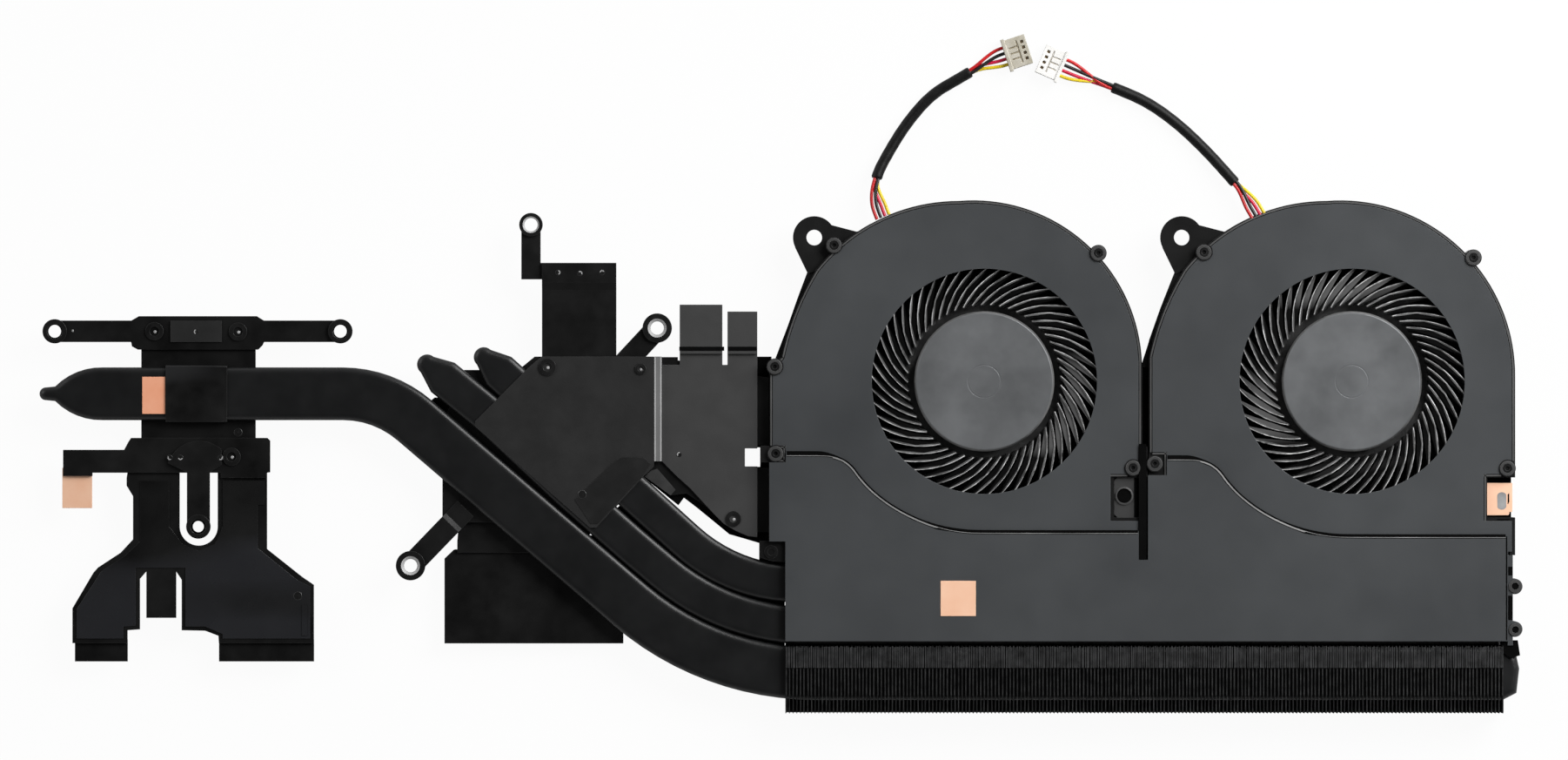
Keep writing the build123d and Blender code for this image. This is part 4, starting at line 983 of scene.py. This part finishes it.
def make_rim(name, cover, axis_x):
    """A dark line of painted shade and a bright rim of painted highlight just outside the upper edge of one
    fan's cover.
    """
    sheet = bmesh.new()
    sheet.from_mesh(nodes[cover].data)
    bmesh.ops.remove_doubles(sheet, verts=sheet.verts[:], dist=same_vertex)
    sheet_top = max(vertex.co.z for vertex in sheet.verts)
    rim = bmesh.new()
    for edge in sheet.edges:
        start, stop = (vertex.co.copy() for vertex in edge.verts)
        walls = [face for face in edge.link_faces if abs(face.normal.z) < 0.5]
        low = min(start.z, stop.z) < sheet_top - sunk * mm
        far_out = math.hypot(start.x - axis_x * mm, start.y - axis_y * mm) > far_from_axis * mm
        if low or not walls or not far_out or stop.y < above_duct * mm:
            continue
        outward = Vector((walls[0].normal.x, walls[0].normal.y, 0)).normalized()
        along = stop - start
        if along.x * outward.y - along.y * outward.x < 0:
            start, stop = stop, start
        line = [(start.x / mm, start.y / mm), (stop.x / mm, stop.y / mm)]
        # The black ribbon paints the shade in the gap, and the grey one a highlight on the frame's rim.
        add_ribbon(rim, line, 0.0, 0.16, rim_foot, cover_top - 0.06, 0)
        add_ribbon(rim, line, 0.16, 0.5, rim_foot, cover_top - sunk, 1)
    sheet.free()
    add_object(name, rim, "cooler", [black_and_painted_shade, rim_grey_and_highlight])


for side, axis_x in fan_axes.items():
    make_rim(f"{side}_cover_rim", f"{side}_fan_cover", axis_x)
print("cover rims ready")

# %% Boss rings
boss_places = [
    (11.6, 46.0), (69.1, 44.3), (-1.3, 19.6), (-1.1, 0.7), (76.65, -2.4),
    (92.1, 44.5), (150.7, 43.3), (81.4, -1.5), (158.1, -2.5),
]
end_boss_places = [(159.8, -28.15), (159.85, -37.6)]
boss_foot = duct_top - 0.01
end_foot = rail_top - sunk
boss_rings = bmesh.new()
for x, y in boss_places:
    ring = [(1.62, boss_foot), (1.52, 9.87), (1.06, 9.88), (1.02, 9.84), (1.02, boss_foot)]
    add_turned(boss_rings, x, y, ring, 40)
for x, y in end_boss_places:
    add_turned(boss_rings, x, y, [(1.5, end_foot), (1.42, 9.3), (0.8, 9.32), (0.7, end_foot)], 40)
    # The end bosses' holes are filled with black discs of painted shade.
    hole = [(0.7, end_foot), (0.7, rail_top + 0.05), (0.02, rail_top + 0.05), (0.02, end_foot)]
    add_turned(boss_rings, x, y, hole, 24, 1)
add_object("boss_rings", boss_rings, "cooler", [boss_plastic, black_and_painted_shade], 16)
print("boss rings", len(boss_places) + len(end_boss_places))

# %% [markdown]
# ## Ribs, gaps and flared walls
# The middle cover's edge rail has two bright ribs. Between the pipes, plates and fans are narrow gaps in deep
# shade, so black fills of painted shade close them and no white table shows through. The same black paints
# the shade at the bends of the side plate's tabs, where the fans meet, by the clip's notch and at the duct's
# end. The fans' outer walls flare out below the left side of each cover, seen as a dark sliver.

# %% Ribs of the edge rail
rail_ribs = bmesh.new()
for rib_left, rib_right in ((-27.5, -27.2), (-26.25, -25.95)):
    add_slab(rail_ribs, box_outline(rib_left, -0.95, rib_right, 21.7), middle_top - sunk, middle_top + 0.06)
add_object("rail_ribs", rail_ribs, "cooler", [rib_steel_and_glints])
print("rail ribs ready")

# %% Dark fills
between_pipes = [
    (-33.2, -8.6), (-20.0, -18.7), (-14.0, -23.0), (-8.0, -26.0), (-2.0, -27.4), (0.9, -27.6), (0.9, -46.7),
    (-10.0, -44.6), (-20.0, -40.7), (-32.7, -32.3), (-44.5, -22.3), (-44.2, -20.2),
]
beside_long_pipe = [(-76.5, 12.0), (-75.4, 12.9), (-74.0, 12.9), (-68.0, 7.6), (-69.5, 4.5)]
below_side_plate = [
    (-31.5, -3.2), (-22.3, -10.6), (-21.1, -8.95), (-18.4, -11.0), (-14.6, -14.1), (-11.2, -16.9),
    (-7.4, -18.0), (-4.7, -18.8), (-4.7, -24.2), (1.3, -24.6), (1.3, -16.5), (-2.0, -16.5),
    (-2.0, -2.3), (-4.6, -2.3), (-5.9, -12.0), (-12.0, -13.0), (-20.0, -5.0), (-28.0, 0.0),
]
left_of_fan_low = [(-6.0, -2.2), (-6.0, -14.0), (-2.0, -14.0), (-2.0, -2.2)]
left_of_fan = [(-4.5, -2.3), (-2.0, -2.3), (-2.0, 21.8), (-5.35, 21.8), (-5.35, 2.0), (-4.5, 2.0)]
between_fans = [
    (77.8, -22.6), (80.8, -22.6), (80.8, 16.0), (81.2, 22.0), (80.3, 25.5), (78.7, 20.5), (77.9, 17.0),
]
at_duct_end = [(156.9, -39.9), (160.4, -39.9), (160.9, -43.2), (159.0, -43.8), (156.9, -42.5)]
dark_fills = [
    (between_pipes, 5.42, 5.58), (beside_long_pipe, 5.42, 5.58), (below_side_plate, 4.9, 5.4),
    (left_of_fan_low, 4.3, 4.8), (left_of_fan, 3.6, 4.2), (between_fans, 6.0, 6.5),
    (box_outline(77.9, -22.35, 79.55, 2.8), 9.78, 9.84),
    (box_outline(-22.1, 23.05, -12.3, 23.95), 7.7, 7.76),
    (box_outline(-11.5, 23.05, -5.2, 23.95), 7.7, 7.76),
    (box_outline(153.2, -13.5, 159.0, -4.1), 6.6, 7.2),
    (at_duct_end, 8.0, 8.6),
]
# Each slab is painted shade: black laid where a gap or a bend is in shade.
shade_fill_mesh = bmesh.new()
for outline, low, high in dark_fills:
    add_slab(shade_fill_mesh, outline, low, high)
add_object("painted_shade_fills", shade_fill_mesh, "cooler", [black_and_painted_shade])
print("dark fills", len(dark_fills))

# %% Flared walls
left_flare = [(6.2, 41.3), (3.75, 34.8), (1.5, 28.4), (-1.4, 20.8), (2.0, 20.8), (10.5, 42.5)]
right_flare = [(85.9, 40.4), (82.7, 32.3), (80.3, 25.5), (78.9, 19.5), (82.0, 19.5), (90.5, 41.5)]
skirts = bmesh.new()
for flare in (left_flare, right_flare):
    add_slab(skirts, flare, 4.0, 7.0)
add_object("frame_skirts", skirts, "cooler", [housing_plastic])
print("flared walls ready")

# %% [markdown]
# ## The lug's pocket and the clip's face
# The lug between the fans sits in a shallow pocket with a deep screw hole, which has a thin pale rim. The
# shade in the hole is painted as a black disc, and a black strip paints the shade along the pocket's right
# side. The copper clip in the right fan's notch is a stamped sheet: its outline has small steps where it is
# folded round the plastic, and an oblong grey window.

# %% Pocket of the lug
pocket_floor = 8.5
pocket_outline = [(73.3, -13.2), (77.5, -13.2), (77.5, -4.5), (73.3, -4.5), (72.6, -5.2), (72.6, -12.5)]
lug_x = 74.75
lug_y = -8.5
lug_hole = 1.55
pocket = bmesh.new()
add_slab(pocket, pocket_outline, pocket_floor - 0.2, pocket_floor, 0)
rim = [(2.0, pocket_floor), (1.9, 8.85), (1.65, 8.9), (lug_hole, pocket_floor)]
add_turned(pocket, lug_x, lug_y, rim, 40, 2)
# The hole's face is a black disc of painted shade.
hole_face = pocket_floor + 0.06
hole = [(lug_hole, pocket_floor), (lug_hole, hole_face), (0.02, hole_face), (0.02, pocket_floor)]
add_turned(pocket, lug_x, lug_y, hole, 32, 1)
# A black strip paints the shade along the pocket's right side.
add_slab(pocket, box_outline(76.9, -13.2, 77.5, -4.5), pocket_floor, pocket_floor + 0.06, 1)
add_object("lug_pocket", pocket, "cooler", [boss_plastic, black_and_painted_shade, rim_grey_and_highlight])
print("lug pocket ready")

# %% Face of the copper clip
clip_outline = [
    (153.2, -12.7), (156.2, -12.7), (158.4, -12.7), (158.6, -12.3), (158.6, -11.6), (158.2, -11.2),
    (158.2, -8.2), (158.6, -7.8), (158.6, -6.9), (158.4, -6.4), (153.2, -6.4), (153.2, -8.0),
    (153.7, -8.3), (153.7, -10.8), (153.2, -11.1),
]
window_x = 156.95
window_y = -9.6
window_straight = 1.1
window_outline = []
for step in range(24):
    turn = 2 * math.pi * step / 24
    end = window_straight if math.sin(turn) > 0 else -window_straight
    window_outline.append((window_x + math.cos(turn), window_y + 0.8 * math.sin(turn) + end))
shim = bmesh.new()
add_slab(shim, clip_outline, clip_top, clip_top + 0.06, 0)
add_slab(shim, window_outline, clip_top + 0.06, clip_top + 0.1, 1)
add_object("clip_face", shim, "cooler", [bare_copper, slot_grey])
print("clip face ready")

# %% [markdown]
# ## Tab, bead, tape, slots and foot
# The last flat things are a bare grey tab beside the middle cover, the oblong bead in the memory film, a
# clear bit of tape on the left cover, two dark slots in the duct's end, and the foot below the left fan's
# corner with its shallow socket.

# %% Tab, bead and tape
grey_tab = bmesh.new()
add_slab(grey_tab, [(-29.6, -4.3), (-28.3, -3.1), (-26.9, -2.6), (-22.9, -7.2), (-24.0, -8.4)], 6.28, 6.42)
add_object("grey_tab", grey_tab, "cooler", [plate_grey])

bead = bmesh.new()
add_slab(bead, box_outline(-104.35, -39.0, -103.15, -32.3), film_top - sunk, film_top + 0.12)
add_object("film_bead", bead, "cooler", [film_sheet_and_sheen])

clear_tape = bmesh.new()
add_slab(clear_tape, box_outline(1.3, -2.3, 3.7, 0.9), cover_top - sunk, cover_top + 0.06)
add_object("clear_tape", clear_tape, "cooler", [hub_coat])
print("tab, bead and tape ready")

# %% Slots and foot
# The slots are black slabs of painted shade on the end rail.
end_slots = bmesh.new()
for slot_low, slot_high in ((-25.8, -23.9), (-35.5, -30.2)):
    add_slab(end_slots, box_outline(158.25, slot_low, 159.25, slot_high), end_foot, rail_top + 0.03)
add_object("end_slots", end_slots, "cooler", [black_and_painted_shade])

foot_top = 8.5
foot_outline = [(-4.6, -18.3), (0.9, -18.3), (0.9, -22.9), (-1.9, -22.7), (-4.6, -21.9)]
socket = [(1.5, 8.48), (1.4, 8.75), (0.8, 8.75), (0.7, 8.55), (0.02, 8.55), (0.02, 8.48)]
foot = bmesh.new()
add_slab(foot, foot_outline, 7.82, foot_top)
add_turned(foot, -2.1, -20.7, socket, 32)
add_object("fan_foot", foot, "cooler", [plate_coat])
print("slots and foot ready")

# %% [markdown]
# ## The fins' top edges
# Seen from above, the stack shows three bands. Nearest the duct the fins' tops are folded over, two thin
# lines to each fin. The middle band is single folds, and the outer one the same, narrower and a little lower.
# The folds are made here as thin bars on the frame's fins, in tones lighter than the fins: a painted
# highlight on the folded edges, dimmer in the middle and outer bands as painted shade of the slope. Each bar
# is off its place by a few hundredths, because bent sheet is never even. The random numbers have a fixed
# seed, so each run gives the same stack.

# %% Fin folds
fin_count = 196
fin_pitch = 0.8
fin_first_x = 1.1
fold_foot = 9.3
inner_band = (-45.9, -41.25)
middle_band = (-51.9, -46.15)
outer_band = (-55.6, -52.15)
dice = random.Random(7)
folds = bmesh.new()


def add_fold(x, width, front, back, top, slot=0):
    """One folded edge: a thin bar along Y on top of a fin."""
    x = x + dice.uniform(-0.05, 0.05)
    lean = dice.uniform(-0.05, 0.05)
    half = width / 2
    outline = [(x - half + lean, front), (x + half + lean, front), (x + half, back), (x - half, back)]
    add_slab(folds, outline, fold_foot, top + dice.uniform(-0.02, 0.02), slot)


for fin in range(fin_count):
    x = min(max(fin_first_x + fin * fin_pitch, 1.3), 157.2)
    add_fold(x, 0.24, inner_band[0], inner_band[1] + dice.uniform(-0.25, 0.1), 9.46)
    if fin < fin_count - 1:
        add_fold(x + fin_pitch / 2, 0.2, inner_band[0], inner_band[1] + dice.uniform(-0.25, 0.1), 9.46)
    add_fold(x, 0.28, *middle_band, 9.43, 1)
    add_fold(x, 0.24, *outer_band, 9.40, 1)
add_object("fin_folds", folds, "cooler", [fin_fold_highlight, fin_fold_dim_highlight])
print("fin folds", 4 * fin_count - 1)

# %% [markdown]
# ## Inside the connectors
# The connectors have four small windows with a contact in each, and latch grooves. The brown in the windows
# and the brownish tone in the grooves are painted shade, laid as thin slabs in the frame's own windows and
# grooves.

# %% Connector contacts
end_to_middle = 2.65
window_along = 1.65
groove_low = 3.13
groove_high = 3.2


def make_contacts(name, end, turn, groove_shade):
    """The painted shade in the contact windows and grooves of one connector, whose wire end is at the route's
    end.
    """
    ahead = Vector((math.cos(math.radians(turn)), math.sin(math.radians(turn))))
    aside = Vector((-ahead.y, ahead.x))
    middle = Vector((end.x, end.y)) / mm + ahead * end_to_middle
    inside = bmesh.new()

    def place(along, across, length, width, low, high, slot):
        half_long = length / 2
        half_wide = width / 2
        outline = []
        for x, y in box_outline(along - half_long, across - half_wide, along + half_long, across + half_wide):
            corner = middle + ahead * x + aside * y
            outline.append((corner.x, corner.y))
        add_slab(inside, outline, low, high, slot)

    for contact in range(4):
        place(window_along, (contact - 1.5) * contact_pitch, 0.62, 0.52, 2.78, 3.05, 0)
    for groove in range(3):
        place(-0.5, (groove - 1) * contact_pitch, 1.9, 0.26, groove_low, groove_high, 1)
    place(0.5, 0, 0.26, 4.9, groove_low, groove_high, 1)
    add_object(name, inside, "cooler", [window_shade_brown, groove_shade])


make_contacts("left_fan_contacts", left_route[-1], left_plug_turn, groove_shade_brown)
make_contacts("right_fan_contacts", right_route[-1], right_plug_turn, groove_shade_pale)
print("contacts ready")

# %% [markdown]
# ## Table and light
# The table is white. Seen by the camera it is mostly a plain white glow, so it never turns grey, and the rest
# is an ordinary diffuse surface, which keeps a trace of the soft shadows. One large light stands at the upper
# right, so every raised edge on that side has a bright line, and a weaker one at the upper left fills the
# shadows. The sky is dim overhead and brighter low down, because flat tops that mirror the dark above the
# camera look black and satin, not grey.

# %% Table
table_half = 2.5
glow_share = 0.95
table_mesh = bmesh.new()
bmesh.ops.create_grid(table_mesh, x_segments=1, y_segments=1, size=table_half)
table_data = bpy.data.meshes.new("table")
table_mesh.to_mesh(table_data)
table_mesh.free()
table = bpy.data.objects.new("table", table_data)
table.location.z = -sunk * mm
bpy.context.collection.objects.link(table)
table_white, table_tree, table_shader = new_finish("table_white")
table_shader.inputs["Base Color"].default_value = shade(0.82)
table_shader.inputs["Roughness"].default_value = 0.9
glow = table_tree.nodes.new("ShaderNodeEmission")
glow.inputs["Strength"].default_value = 1.0
light_path = table_tree.nodes.new("ShaderNodeLightPath")
seen = table_tree.nodes.new("ShaderNodeMath")
seen.operation = "MAXIMUM"
table_tree.links.new(light_path.outputs["Is Camera Ray"], seen.inputs[0])
table_tree.links.new(light_path.outputs["Is Transmission Ray"], seen.inputs[1])
share = table_tree.nodes.new("ShaderNodeMath")
share.operation = "MULTIPLY"
share.inputs[1].default_value = glow_share
table_tree.links.new(seen.outputs["Value"], share.inputs[0])
table_mix = table_tree.nodes.new("ShaderNodeMixShader")
table_tree.links.new(share.outputs["Value"], table_mix.inputs["Fac"])
table_tree.links.new(table_shader.outputs["BSDF"], table_mix.inputs[1])
table_tree.links.new(glow.outputs["Emission"], table_mix.inputs[2])
table_out = table_tree.nodes["Material Output"]
table_tree.links.new(table_mix.outputs["Shader"], table_out.inputs["Surface"])
table_data.materials.append(table_white)
print("table", 2 * table_half, "m wide")

# %% Sky
world = bpy.data.worlds.new("studio")
world.use_nodes = True
bpy.context.scene.world = world
sky = world.node_tree
background = sky.nodes["Background"]
direction = sky.nodes.new("ShaderNodeTexCoord")
parts = sky.nodes.new("ShaderNodeSeparateXYZ")
sky.links.new(direction.outputs["Generated"], parts.inputs["Vector"])
height_ramp = sky.nodes.new("ShaderNodeValToRGB")
height_ramp.color_ramp.elements[0].position = 0.25
height_ramp.color_ramp.elements[0].color = shade(0.75)
height_ramp.color_ramp.elements[1].position = 0.9
height_ramp.color_ramp.elements[1].color = shade(0.05)
sky.links.new(parts.outputs["Z"], height_ramp.inputs["Fac"])
sky.links.new(height_ramp.outputs["Color"], background.inputs["Color"])
background.inputs["Strength"].default_value = 0.9
print("sky strength", background.inputs["Strength"].default_value)


# %% Lamps
def add_lamp(name, place, target, size, watts):
    """A square area light that faces the target."""
    data = bpy.data.lights.new(name, "AREA")
    data.shape = "SQUARE"
    data.size = size
    data.energy = watts
    lamp = bpy.data.objects.new(name, data)
    lamp.location = place
    lamp.rotation_euler = (Vector(target) - Vector(place)).to_track_quat("-Z", "Y").to_euler()
    bpy.context.collection.objects.link(lamp)
    print(name, watts, "W")


add_lamp("key_light", (0.42, 0.34, 0.42), (0.0, 0.0, 0.0), 0.45, 5.4)
add_lamp("fill_light", (-1.1, 0.5, 0.8), (0.0, 0.0, 0.0), 0.6, 3.0)
bpy.context.scene.view_settings.view_transform = "Standard"
